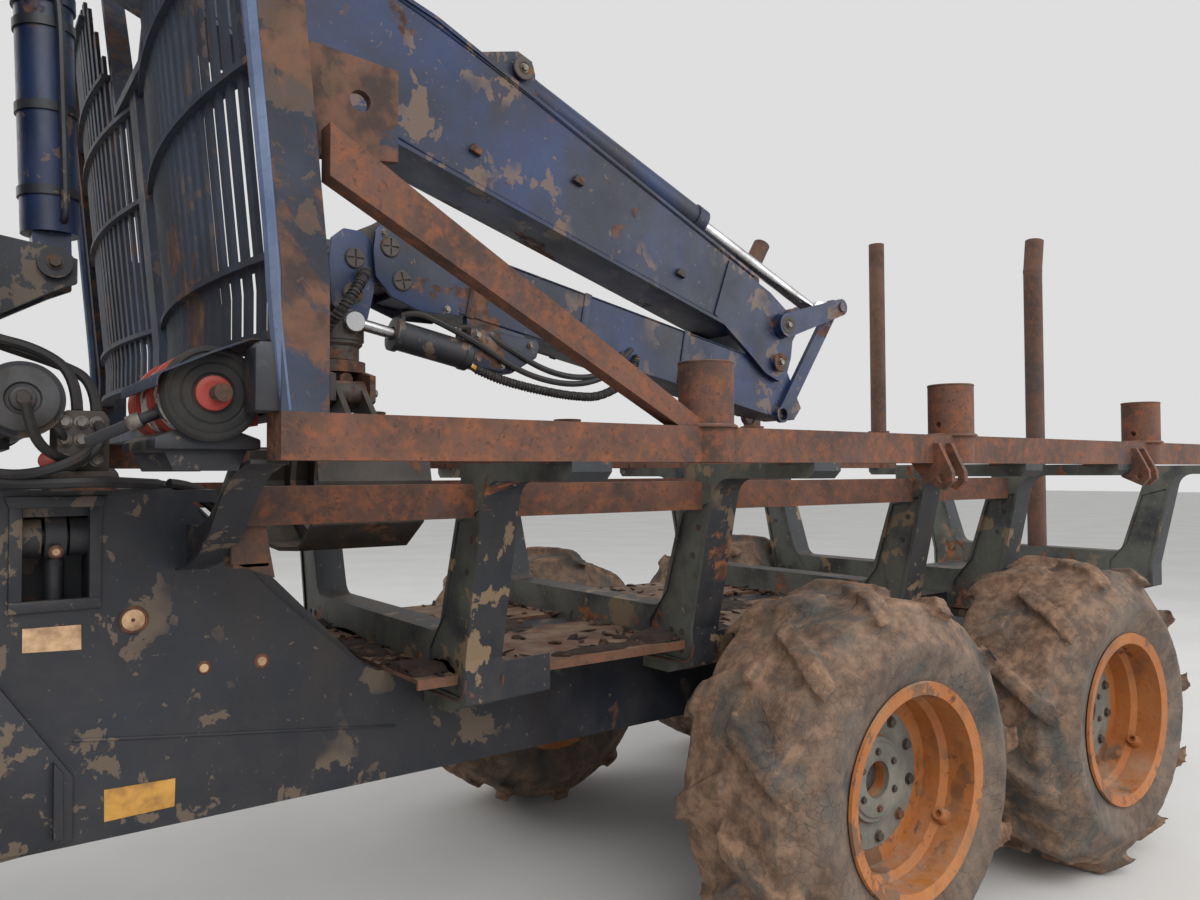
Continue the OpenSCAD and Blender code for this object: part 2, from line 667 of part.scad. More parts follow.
module boom() color([0.1, 0.14, 0.26]) on_boom() {
    side = boom_w / 2;
    fork = 25;
    difference() {
        union() {
            plate_xz([[-120, -130], [60, -185], [400, -200], [1650, -240], [3480, -140], [3480, 145],
                [1650, 268], [60, 185], [-120, 120]], -side + 8, side - 8);
            // Flanges that stand out at the lower and upper edges
            plate_xz([[60, -200], [1650, -255], [3480, -155], [3480, -140], [1650, -240], [60, -184]],
                -side, side);
            plate_xz([[60, 184], [1650, 267], [3480, 144], [3480, 158], [1650, 282], [60, 199]],
                -side, side);
            both() plate_xz([[3300, -140], [3560, -215], [3700, -262], [3800, -262], [3838, -215],
                [3838, -120],
                [3800, 60], [3745, 85], [3600, 120], [3300, 140]], side - fork, side);
            rod_y(lever_pin[0], lever_pin[1], side - fork, side + 20, 62);
            rod_y(lever_pin[0], lever_pin[1], -side - 20, -side + fork, 62);
            // Lugs of the jib cylinder on the top
            both() plate_xz([[cyl_lug[0] - 260, 230], [cyl_lug[0] - 40, cyl_lug[1] + 62],
                [cyl_lug[0] + 30, cyl_lug[1] + 62],
                [cyl_lug[0] + 62, cyl_lug[1] + 20], [cyl_lug[0] + 90, cyl_lug[1] - 60],
                [cyl_lug[0] + 330, 200]],
                72, 97);
            // Lugs of the lift cylinder below the root
            both() plate_xz([[lift_pin_u - 180, -180], [lift_pin_u - 60, lift_pin_v - 40],
                [lift_pin_u, lift_pin_v - 62],
                [lift_pin_u + 60, lift_pin_v - 40], [lift_pin_u + 190, -180]], 52, 77);
        }
        rod_y(0, 0, -side - 5, side + 5, 45 + run);
        rod_y(jib_pin[0], jib_pin[1], -side - 5, side + 5, tip_pin_r + run);
    }
    both() {
        rod_y(lift_pin_u, lift_pin_v, 48, 100, 46);
        rod_y(cyl_lug[0], cyl_lug[1], 66, 112, 44);
    }
    rod_y(cyl_lug[0], cyl_lug[1], -80, 80, eye_pin_r);
    rod_y(lever_pin[0], lever_pin[1], -side - 40, side + 40, 34);
}

// Draws along the jib cylinder: +X from its lug to the lever's end
jib_cyl_vec = lever_end - cyl_lug;
jib_cyl_len = norm(jib_cyl_vec);
module on_jib_cylinder() on_boom() translate([cyl_lug[0], 0, cyl_lug[1]])
    rotate([0, -atan2(jib_cyl_vec[1], jib_cyl_vec[0]), 0]) children();

module jib_barrel() color([0.1, 0.1, 0.13]) on_jib_cylinder() {
    length = 1130;
    difference() {
        union() {
            rod_y(0, 0, -62, 62, 56);
            translate([20, -45, -45]) cube([80, 90, 90]);
            rod_x(80, length, 0, 0, 62);
            rod_x(length - 60, length, 0, 0, 70);
        }
        rod_y(0, 0, -70, 70, eye_pin_r + run);
        rod_x(130, length - 80, 0, 0, 52);
        rod_x(100, length + 5, 0, 0, 32 + run);
    }
}

module jib_rod() color(chrome) on_jib_cylinder() {
    rod_x(960, 1020, 0, 0, 47);
    rod_x(600, jib_cyl_len - 40, 0, 0, 32);
    difference() {
        rod_y(jib_cyl_len, 0, -40, 40, 52);
        rod_y(jib_cyl_len, 0, -45, 45, 36);
    }
}

// Lever that the jib cylinder pulls
lever_y = boom_w / 2 + 24;
module jib_lever() color([0.1, 0.14, 0.26]) on_boom() {
    angle = atan2(lever_end[1] - lever_pin[1], lever_end[0] - lever_pin[0]);
    length = norm(lever_end - lever_pin);
    both() difference() {
        translate([lever_pin[0], 0, lever_pin[1]]) rotate([0, -angle, 0]) {
            plate_xz([[0, -58], [length, -42], [length, 42], [0, 58]], lever_y, lever_y + 24);
            rod_y(0, 0, lever_y, lever_y + 24, 58);
            rod_y(length, 0, lever_y, lever_y + 24, 42);
        }
        rod_y(lever_pin[0], lever_pin[1], lever_y - 5, lever_y + 30, 34 + run);
    }
    both() rod_y(lever_end[0], lever_end[1], 92, lever_y + 34, 24);
    both() rod_y(lever_end[0], lever_end[1], 84, 93, 30);
}

// Strut from the lever's end down to the jib
module jib_strut() color([0.1, 0.14, 0.26]) on_boom() {
    d = strut_foot - lever_end;
    length = norm(d);
    both() difference() {
        translate([lever_end[0], 0, lever_end[1]]) rotate([0, -atan2(d[1], d[0]), 0]) {
            plate_xz([[0, -34], [length, -34], [length, 34], [0, 34]], 102, 126);
            rod_y(0, 0, 102, 126, 46);
            rod_y(length, 0, 102, 126, 40);
        }
        rod_y(lever_end[0], lever_end[1], 95, 130, 24 + run);
        rod_y(strut_foot[0], strut_foot[1], 95, 130, 30);
    }
}

// Draws in the jib's own frame: +X along the folded jib to its tip
jib_base = [-700, 2130];
module on_jib() translate([jib_base[0], 0, jib_base[1]]) rotate([0, -jib_slope, 0]) children();
jib_c = cos(jib_slope);
jib_s = sin(jib_slope);
// The jib pin's place in the bed and in the jib's own frame
jib_pin_x = boom_x - jib_pin[0] * boom_c - jib_pin[1] * boom_s;
jib_pin_z = boom_z - jib_pin[0] * boom_s + jib_pin[1] * boom_c;
jib_pin_u = (jib_pin_x - jib_base[0]) * jib_c + (jib_pin_z - jib_base[1]) * jib_s;
jib_pin_v = -(jib_pin_x - jib_base[0]) * jib_s + (jib_pin_z - jib_base[1]) * jib_c;
jib_l = 2020;
head_pin = [2225, -86];

module jib() color(navy) {
    inner_w = jib_w / 2 - jib_wall;
    inner_h = jib_h / 2 - jib_wall;
    on_jib() {
        difference() {
            union() {
                box([60, -jib_w / 2, -jib_h / 2], [jib_l, jib_w / 2, jib_h / 2]);
                box([jib_l - 90, -jib_w / 2 - 4, -jib_h / 2 - 12], [jib_l, jib_w / 2 + 4, jib_h / 2 + 12]);
                plate_xz([[-130, -110], [90, -jib_h / 2], [200, -jib_h / 2], [260, jib_h / 2],
                    [jib_pin_u + 70, jib_pin_v + 40],
                    [jib_pin_u, jib_pin_v + 66], [jib_pin_u - 66, jib_pin_v + 30], [-170, -40]],
                    -jib_w / 2, jib_w / 2);
            }
            box([320, -inner_w, -inner_h], [jib_l - 75, inner_w, inner_h]);
            // Mouth with its pads
            box([jib_l - 76, slide_gap - 0.3 - inner_w, slide_gap - 0.3 - inner_h],
                [jib_l + 5, inner_w - slide_gap + 0.3, inner_h - slide_gap + 0.3]);
            rod_y(jib_pin_u, jib_pin_v, -jib_w, jib_w, tip_pin_r + run);
        }
        rod_y(jib_pin_u, jib_pin_v, -boom_w / 2 - 16, boom_w / 2 + 16, tip_pin_r);
    }
}

// Telescopic extension with the head that carries the hanger
module extension() color([0.14, 0.13, 0.13]) on_jib() {
    w = jib_w / 2 - jib_wall - slide_gap;
    h = jib_h / 2 - jib_wall - slide_gap;
    pad = slide_gap - 0.3;
    box([600, -w, -h], [2110, w, h]);
    // Wear pads round its inner end
    box([610, -w - pad, -h - pad], [730, w + pad, h + pad]);
    both() plate_xz([[2060, h + 18], [2110, h + 18], [2240, 20], [2285, -60], [2275, -120], [2225, -150],
        [2170, -140], [2110, -h - 10], [2060, -h - 10]], 38, w - 1);
    box([2050, -w + 1, -h - 9], [2120, w - 1, h + 17]);
    rod_y(head_pin[0], head_pin[1], -w - 12, w + 12, 26);
}

// Crane tip in the bed
tip_x = jib_base[0] + head_pin[0] * jib_c - head_pin[1] * jib_s;
tip_z = jib_base[1] + head_pin[0] * jib_s + head_pin[1] * jib_c;

// Plumb hanger with the upper half of the rotator
module hanger() color([0.15, 0.15, 0.16]) {
    difference() {
        union() {
            rod_y(tip_x, tip_z, -32, 32, 60);
            box([tip_x - 48, -32, tip_z - 180], [tip_x + 48, 32, tip_z]);
        }
        rod_y(tip_x, tip_z, -40, 40, 26 + run);
    }
    translate([tip_x, 0, tip_z - 260]) cylinder(r = 105, h = 90);
    difference() {
        translate([tip_x, 0, tip_z - 330]) cylinder(r = 88, h = 71);
        translate([tip_x, 0, tip_z - 331]) cylinder(r = shaft_r + run, h = 66);
    }
}

// Grapple: head plate with cylinder, and two curved jaws
head_z = tip_z - 335;
jaw_pivot_y = 130;
jaw_pivot_z = head_z - 120;
jaw_bottom = tip_z - 995;
shaft_r = 40;

module grapple_head() color([0.14, 0.13, 0.13]) {
    translate([tip_x, 0, head_z - 40]) cylinder(r = 110, h = 40);
    translate([tip_x, 0, head_z - 1]) cylinder(r = shaft_r, h = 62);
    for (s = [-1, 1]) translate([tip_x + s * 70 - 10, 0, 0]) difference() {
        plate_yz([[-190, head_z - 150], [-190, head_z - 60], [-100, head_z - 39], [100, head_z - 39],
            [190, head_z - 60],
            [190, head_z - 150], [120, head_z - 175], [-120, head_z - 175]], 0, 20);
        for (t = [-1, 1]) rod_x(-5, 25, t * jaw_pivot_y, jaw_pivot_z, 24 + run);
    }
    for (t = [-1, 1]) rod_x(tip_x - 95, tip_x + 95, t * jaw_pivot_y, jaw_pivot_z, 24);
}

// One jaw: two curved plates and the floor between them
module jaw() {
    difference() {
        union() {
            for (x = [tip_x - 55, tip_x + 35]) plate_yz([[jaw_pivot_y - 45, jaw_pivot_z + 10],
                [jaw_pivot_y, jaw_pivot_z + 45],
                [jaw_pivot_y + 45, jaw_pivot_z + 10], [370, jaw_pivot_z - 180], [400, jaw_pivot_z - 300],
                [340, jaw_pivot_z - 440], [200, jaw_bottom + 12], [6, jaw_bottom], [6, jaw_bottom + 24],
                [180, jaw_bottom + 90], [270, jaw_pivot_z - 400], [310, jaw_pivot_z - 300],
                [280, jaw_pivot_z - 190],
                [jaw_pivot_y - 50, jaw_pivot_z - 40]], x, x + 20);
            plate_yz([[370, jaw_pivot_z - 180], [400, jaw_pivot_z - 300], [340, jaw_pivot_z - 440],
                [200, jaw_bottom + 12],
                [6, jaw_bottom], [6, jaw_bottom + 12], [195, jaw_bottom + 26], [328, jaw_pivot_z - 432],
                [385, jaw_pivot_z - 300], [356, jaw_pivot_z - 186]], tip_x - 190, tip_x + 190);
            rod_x(tip_x - 56, tip_x + 56, jaw_pivot_y, jaw_pivot_z, 44);
        }
        rod_x(tip_x - 60, tip_x + 60, jaw_pivot_y, jaw_pivot_z, 24 + run);
    }
}

module jaw_left() color([0.16, 0.14, 0.13]) jaw();
module jaw_right() color([0.16, 0.14, 0.13]) mirror([0, 1, 0]) jaw();

// Front half

// Centre joint: steering knuckle between the lugs, and the roll bearing behind the front frame
front_frame_rear = 3600;

module centre_joint() color(navy) {
    translate([joint_x, 0, lug_low[1] + 6]) cylinder(r = 86, h = lug_high[0] - lug_low[1] - 12);
    for (z = [lug_low[0] - 10, lug_high[0] - 7])
        translate([joint_x, 0, z]) cylinder(r = joint_pin_r, h = 86);
    box([joint_x, -82, 850], [front_frame_rear - 90, 82, 1230]);
    rod_x(front_frame_rear - 100, front_frame_rear, 0, 1020, 168);
}

frame_half = 420;
frame_front_top = 1140;
tank_y = 1150;

module front_frame() color(navy) {
    difference() {
        union() {
            both() plate_xz([[front_frame_rear, 760], [3900, 700], [bumper_x - 300, 700],
                [bumper_x - 100, 860],
                [bumper_x - 100, frame_front_top], [4950, frame_front_top], [4500, 1300],
                [front_frame_rear, 1300]],
                frame_half - 30, frame_half);
            box([front_frame_rear, -frame_half + 1, 770], [front_frame_rear + 40, frame_half - 1, 1290]);
            box([front_frame_rear + 30, -frame_half + 1, 900], [6400, frame_half - 1, 920]);
        }
        // Arches over the axle tube, and the way for its middle housing
        both() {
            rod_y(front_axle_x, front_axle_z, frame_half - 40, frame_half + 10, 150);
            box([front_axle_x - 150, frame_half - 40, 690],
                [front_axle_x + 150, frame_half + 10, front_axle_z]);
        }
        box([front_axle_x - 260, -260, 890], [front_axle_x + 260, 260, 930]);
        box([front_axle_x - 160, 30 - frame_half, 890], [front_axle_x + 160, frame_half - 30, 930]);
        // Ways in for the steering cylinders
        both() box([front_frame_rear - 10, 200, steer_eye[2] - 68],
            [front_frame_rear + 130, frame_half + 10, steer_eye[2] + 68]);
    }
    box([6300, -frame_half + 1, 720], [6340, frame_half - 1, 1130]);
    // Bumper with its turned ends
    plate_xz([[bumper_x - 110, 700], [bumper_x - 30, 720], [bumper_x, 860], [bumper_x, 1120],
        [bumper_x - 110, 1140]], -640, 640);
    // Cab mounts
    both() for (x = [cab_rear + 120, cab_front - 160])
        box([x - 60, frame_half - 90, 1139], [x + 60, frame_half + 60, cab_z]);
    // Tank on each side with the steps below the door
    both() {
        box([3800, frame_half - 1, 1060], [3860, 800, 1100]);
        box([4180, frame_half - 1, 1060], [4240, 800, 1100]);
        difference() {
            box([3760, 780, 780], [4300, tank_y, 1360]);
            box([3850, 1000, 900], [4210, tank_y + 10, 1010]);
            box([3850, 1000, 1090], [4210, tank_y + 10, 1200]);
        }
    }
    // Lugs for the rods of the steering cylinders
    both() {
        for (z = [steer_eye[2] - 92, steer_eye[2] + 62]) {
            box([front_frame_rear + 39, steer_eye[1] - 90, z],
                [steer_eye[0] + 50, frame_half - 29, z + 30]);
        }
    }
}

module front_axle() color(navy) {
    both() {
        rod_y(front_axle_x, front_axle_z, 150, 640, 130);
        rod_y(front_axle_x, front_axle_z, 600, spindle_in - 5, 190);
        rod_y(front_axle_x, front_axle_z, 640, spindle_in + 170, spindle_r);
        box([front_axle_x - 230, 330, front_axle_z - 60], [front_axle_x + 230, frame_half - 30, 900]);
    }
    translate([front_axle_x, 0, front_axle_z]) sphere(r = 235);
}

// Engine as one block on four feet
module engine_block() color([0.3, 0.3, 0.31]) {
    box([5160, -340, 1180], [6280, 340, 1900]);
    both() for (x = [5400, 6100]) box([x - 50, 330, frame_front_top], [x + 50, frame_half, 1230]);
}

// Hood: shell with a sloping top, grille slots at the front and lamps beside them
hood_w = 1240;
hood_z = 1160;
hood_top = 2260;
hood_wall = 20;
module hood() color(orange) {
    back = cab_front + 12;
    outline = [[back, hood_z], [hood_front, hood_z], [hood_front, hood_top - 330],
        [hood_front - 120, hood_top - 180],
        [back, hood_top]];
    difference() {
        plate_xz(outline, -hood_w / 2, hood_w / 2);
        plate_xz([[back - 5, hood_z - 5], [hood_front - hood_wall, hood_z - 5],
            [hood_front - hood_wall, hood_top - 335],
            [hood_front - 125, hood_top - 205], [back - 5, hood_top - hood_wall]],
            -hood_w / 2 + hood_wall, hood_w / 2 - hood_wall);
        for (i = [0:8]) box([hood_front - 40, -330, 1290 + i * 62], [hood_front + 10, 330, 1320 + i * 62]);
        for (i = [0:6])
            both() box([5900, hood_w / 2 - 40, 1420 + i * 60], [6450, hood_w / 2 + 10, 1446 + i * 60]);
    }
    // Cross wall that rests on the frame
    box([back + 60, -hood_w / 2 + 5, frame_front_top], [back + 80, hood_w / 2 - 5, hood_z + 30]);
    box([6480, -hood_w / 2 + 5, frame_front_top], [6500, hood_w / 2 - 5, hood_z + 30]);
    both() rod_x(hood_front - 10, hood_front + 40, 460, 1720, 75);
}

// Cab
door_x0 = 4080;
door_x1 = 4830;
door_z0 = cab_z + 70;
door_z1 = cab_top - 190;
// The door's front lower corner is cut off over the tyre
door_cut = [140, 105];
hinge = [door_x0 - 6, cab_w / 2 + 22];
hinge_zs = [1640, 2920];
cab_side = [[cab_rear, cab_z + 130], [cab_rear + 130, cab_z], [cab_front, cab_z], [cab_front, cab_z + 900],
    [cab_front - 110, cab_top - 60], [cab_front - 200, cab_top], [cab_rear + 60, cab_top],
    [cab_rear, cab_top - 70]];

module cab_shell() color([0.13, 0.14, 0.16]) {
    h = cab_w / 2;
    t = cab_wall;
    difference() {
        plate_xz(cab_side, -h, h);
        plate_xz([[cab_rear + t, cab_z + 150], [cab_rear + 150, cab_z + t], [cab_front - t, cab_z + t],
            [cab_front - t, cab_z + 890], [cab_front - 170, cab_top - 110], [cab_front - 230, cab_top - t],
            [cab_rear + 90, cab_top - t], [cab_rear + t, cab_top - 100]], -h + t, h - t);
        // Door opening on the left
        plate_xz([[door_x0 - 6, door_z0 - 6], [door_x1 - door_cut[0] + 2, door_z0 - 6],
            [door_x1 + 12, door_z0 + door_cut[1] - 8], [door_x1 + 12, door_z1 + 6],
            [door_x0 - 6, door_z1 + 6]],
            h - t - 5, h + 5);
        // Left rear window, right windows, rear and front windows
        box([cab_rear + 110, h - t - 5, 2120], [door_x0 - 80, h + 5, door_z1]);
        box([cab_rear + 110, -h - 5, 2120], [door_x0 - 40, -h + t + 5, door_z1]);
        box([door_x0 + 30, -h - 5, 2000], [cab_front - 190, -h + t + 5, door_z1]);
        box([cab_rear - 5, -h + 110, 2050], [cab_rear + t + 5, h - 110, cab_top - 180]);
        box([cab_front - 200, -h + 110, 2300], [cab_front + 5, h - 110, cab_top - 180]);
    }
    // Door hinges: lugs and pins
    for (z = hinge_zs) {
        for (dz = [-25, 45]) {
            box([hinge[0] - 60, h - 1, z + dz], [hinge[0], hinge[1] + 16, z + dz + 20]);
            translate([hinge[0], hinge[1], z + dz]) cylinder(r = 16, h = 20);
        }
        translate([hinge[0], hinge[1], z - 20]) cylinder(r = 9, h = 80);
    }
    // Roof with lamp brackets
    box([cab_rear + 30, -h - 30, cab_top - 1], [cab_front - 130, h + 30, cab_top + 50]);
    for (y = [-520, -180, 180, 520]) {
        rod_x(cab_front - 135, cab_front - 70, y, cab_top + 95, 55);
        rod_x(cab_rear - 20, cab_rear + 45, y, cab_top + 95, 55);
        box([cab_front - 150, y - 15, cab_top + 30], [cab_front - 110, y + 15, cab_top + 60]);
        box([cab_rear + 20, y - 15, cab_top + 30], [cab_rear + 44, y + 15, cab_top + 60]);
    }
}

module cab_door() color(orange) {
    h = cab_w / 2;
    difference() {
        plate_xz([[door_x0, door_z0], [door_x1 - door_cut[0], door_z0], [door_x1, door_z0 + door_cut[1]],
            [door_x1, door_z1], [door_x0, door_z1]], h - cab_wall, h);
        box([door_x0 + 70, h - cab_wall - 5, door_z0 + 560], [door_x1 - 70, h + 5, door_z1 - 70]);
        box([door_x0 + 70, h - cab_wall - 5, door_z0 + 90], [door_x1 - 70, h + 5, door_z0 + 480]);
    }
    box([door_x1 - 60, h - 1, door_z0 + 470], [door_x1 - 30, h + 40, door_z0 + 560]);
    for (z = hinge_zs) difference() {
        union() {
            translate([hinge[0], hinge[1], z]) cylinder(r = 16, h = 40);
            box([hinge[0], hinge[1] - 12, z], [hinge[0] + 30, hinge[1] + 12, z + 40]);
            box([hinge[0] + 12, h - 1, z], [hinge[0] + 160, hinge[1] + 4, z + 40]);
        }
        translate([hinge[0], hinge[1], z - 5]) cylinder(r = 9 + run, h = 50);
    }
}

module cab_interior() color([0.2, 0.2, 0.21]) {
    z = cab_z + cab_wall;
    x = 4260;
    translate([x, 0, z]) cylinder(r = 90, h = 330);
    box([x - 240, -250, z + 329], [x + 260, 250, z + 450]);
    plate_xz([[x - 240, z + 430], [x - 130, z + 440], [x - 190, z + 1050], [x - 290, z + 1040]], -240, 240);
    both() box([x - 160, 260, z + 520], [x + 260, 350, z + 580]);
    both() box([x - 160, 249, z + 400], [x - 60, 330, z + 521]);
    box([cab_front - 260, -420, z], [cab_front - 170, 420, z + 420]);
}

// Steering cylinders: barrels anchored on the rear frame, rods to the front frame
module steer_barrel() translate(steer_anchor) difference() {
    union() {
        translate([0, 0, -40]) cylinder(r = 48, h = 80);
        rod_x(30, 530, 0, 0, 52);
    }
    translate([0, 0, -50]) cylinder(r = 26 + run, h = 100);
    rod_x(70, 510, 0, 0, 43);
    rod_x(200, 600, 0, 0, 26 + run);
}

module steer_rod() {
    translate(steer_anchor) {
        rod_x(270, 310, 0, 0, 40);
        rod_x(270, steer_len - 40, 0, 0, 26);
    }
    translate(steer_eye) difference() {
        translate([0, 0, -45]) cylinder(r = 46, h = 90);
        translate([0, 0, -50]) cylinder(r = 28, h = 100);
    }
}

home() rear_frame();
home() deck_plates();
home() bunks();
home() inner_rails();
home() side_rails();
home() load_gate();
home() stakes();
home() rear_bogies();
home() slew_base();
home() fire_extinguisher();
home() rear_tyre(0, 1);  // tyre_rear_front_left
home() rear_rim(0, 1);  // rim_rear_front_left
home() rear_tyre(0, -1);  // tyre_rear_front_right
home() rear_rim(0, -1);  // rim_rear_front_right
home() rear_tyre(-bogie_pitch, 1);  // tyre_rear_back_left
home() rear_rim(-bogie_pitch, 1);  // rim_rear_back_left
home() rear_tyre(-bogie_pitch, -1);  // tyre_rear_back_right
home() rear_rim(-bogie_pitch, -1);  // rim_rear_back_right
home() front_tyre(1);  // tyre_front_left
home() front_rim(1);  // rim_front_left
home() front_tyre(-1);  // tyre_front_right
home() front_rim(-1);  // rim_front_right
home() pillar();
home() hose_bundle();
home() lift_barrel();
home() lift_rod();
home() boom();
home() jib_barrel();
home() jib_rod();
home() jib_lever();
home() jib_strut();
home() jib();
home() extension();
home() hanger();
home() grapple_head();
home() jaw_left();
home() jaw_right();
home() centre_joint();
home() front_frame();
home() front_axle();
home() engine_block();
home() hood();
home() cab_shell();
home() cab_door();
home() cab_interior();
home() color(navy) steer_barrel();  // steer_barrel_left
home() color(chrome) steer_rod();  // steer_rod_left
home() color(navy) mirror([0, 1, 0]) steer_barrel();  // steer_barrel_right
home() color(chrome) mirror([0, 1, 0]) steer_rod();  // steer_rod_right
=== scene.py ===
import math
import random

import bpy
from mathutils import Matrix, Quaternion, Vector, noise


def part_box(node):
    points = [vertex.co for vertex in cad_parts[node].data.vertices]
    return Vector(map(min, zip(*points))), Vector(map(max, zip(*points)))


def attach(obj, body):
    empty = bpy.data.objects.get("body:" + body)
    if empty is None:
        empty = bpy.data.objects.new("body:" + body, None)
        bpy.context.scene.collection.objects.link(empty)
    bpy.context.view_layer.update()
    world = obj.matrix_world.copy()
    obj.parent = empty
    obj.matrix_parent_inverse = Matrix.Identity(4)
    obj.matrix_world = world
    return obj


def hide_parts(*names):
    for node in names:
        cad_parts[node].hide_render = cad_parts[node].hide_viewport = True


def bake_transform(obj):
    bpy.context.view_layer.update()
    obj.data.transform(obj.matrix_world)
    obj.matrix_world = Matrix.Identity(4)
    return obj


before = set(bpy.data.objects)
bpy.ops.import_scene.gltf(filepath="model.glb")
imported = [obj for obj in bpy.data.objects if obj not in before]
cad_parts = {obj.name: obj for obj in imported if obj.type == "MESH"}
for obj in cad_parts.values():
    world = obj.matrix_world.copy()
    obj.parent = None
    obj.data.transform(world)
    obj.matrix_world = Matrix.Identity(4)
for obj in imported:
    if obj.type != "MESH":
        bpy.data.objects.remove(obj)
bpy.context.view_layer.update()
print("frame loaded")


# ---- small tools used all over ----

def clearSelection():
    if bpy.context.object and bpy.context.object.mode != "OBJECT":
        bpy.ops.object.mode_set(mode="OBJECT")
    bpy.ops.object.select_all(action="DESELECT")


def pick(piece):
    clearSelection()
    piece.select_set(True)
    bpy.context.view_layer.objects.active = piece


def nameIt(name):
    piece = bpy.context.object
    piece.name = name
    piece.data.name = name
    return piece


def bakePlace(piece):
    # place, turn and size go into the mesh
    pick(piece)
    bpy.ops.object.transform_apply(location=True, rotation=True, scale=True)


def applyModifiers(piece):
    pick(piece)
    for modifier in list(piece.modifiers):
        bpy.ops.object.modifier_apply(modifier=modifier.name)


def addBevel(piece, width, segments=2, angle=35):
    bevel = piece.modifiers.new("bevel", "BEVEL")
    bevel.width = width
    bevel.segments = segments
    bevel.limit_method = "ANGLE"
    bevel.angle_limit = math.radians(angle)
    applyModifiers(piece)


def smoothByAngle(piece, angle=35):
    pick(piece)
    bpy.ops.object.shade_smooth_by_angle(angle=math.radians(angle))


def joinPieces(pieces, name):
    clearSelection()
    for piece in pieces:
        piece.select_set(True)
    bpy.context.view_layer.objects.active = pieces[0]
    if len(pieces) > 1:
        bpy.ops.object.join()
    return nameIt(name)


def turnTo(direction):
    return Vector(direction).to_track_quat("Z", "Y").to_euler()


def addRod(radius, start, end, sides=24, bevel=0.0):
    start, end = Vector(start), Vector(end)
    clearSelection()
    bpy.ops.mesh.primitive_cylinder_add(vertices=sides, radius=radius, depth=(end - start).length,
                                        location=(start + end) / 2, rotation=turnTo(end - start))
    piece = bpy.context.object
    bakePlace(piece)
    if bevel:
        addBevel(piece, bevel)
    return piece


def addBlock(low, high, bevel=0.0):
    low, high = Vector(low), Vector(high)
    clearSelection()
    bpy.ops.mesh.primitive_cube_add(size=1, location=(low + high) / 2)
    piece = bpy.context.object
    piece.scale = high - low
    bakePlace(piece)
    if bevel:
        addBevel(piece, bevel)
    return piece


def addHexHead(place, direction, size, height, washer=1.25):
    # hexagon head with chamfered corners on a washer
    direction = Vector(direction).normalized()
    place = Vector(place)
    clearSelection()
    bpy.ops.mesh.primitive_cylinder_add(vertices=6, radius=size, depth=height, rotation=turnTo(direction),
                                        location=place + direction * (height / 2 + height * 0.2))
    head = bpy.context.object
    bakePlace(head)
    addBevel(head, size * 0.12, 1, 50)
    bpy.ops.mesh.primitive_cylinder_add(vertices=20, radius=size * washer, depth=height * 0.25,
                                        rotation=turnTo(direction), location=place + direction * height * 0.12)
    disc = bpy.context.object
    bakePlace(disc)
    return [head, disc]


def addRoute(name, points, radius, sides=3):
    # a smooth tube through the points
    curve = bpy.data.curves.new(name, "CURVE")
    curve.dimensions = "3D"
    curve.bevel_depth = radius
    curve.bevel_resolution = sides
    curve.resolution_u = 6
    curve.use_fill_caps = True
    spline = curve.splines.new("NURBS")
    spline.points.add(len(points) - 1)
    for spot, point in zip(spline.points, points):
        spot.co = (*point, 1)
    spline.use_endpoint_u = True
    spline.order_u = 3
    piece = bpy.data.objects.new(name, curve)
    bpy.context.collection.objects.link(piece)
    pick(piece)
    bpy.ops.object.convert(target="MESH")
    return nameIt(name)


def finishPiece(piece, material, body):
    piece.data.materials.clear()
    piece.data.materials.append(material)
    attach(piece, body)
    return piece


# ---- materials ----

def colour(red, green, blue):
    # from the 0 to 255 values of a picture to the values that Blender works with
    def even(value):
        value /= 255
        return value / 12.92 if value <= 0.04045 else ((value + 0.055) / 1.055) ** 2.4
    return (even(red), even(green), even(blue), 1.0)


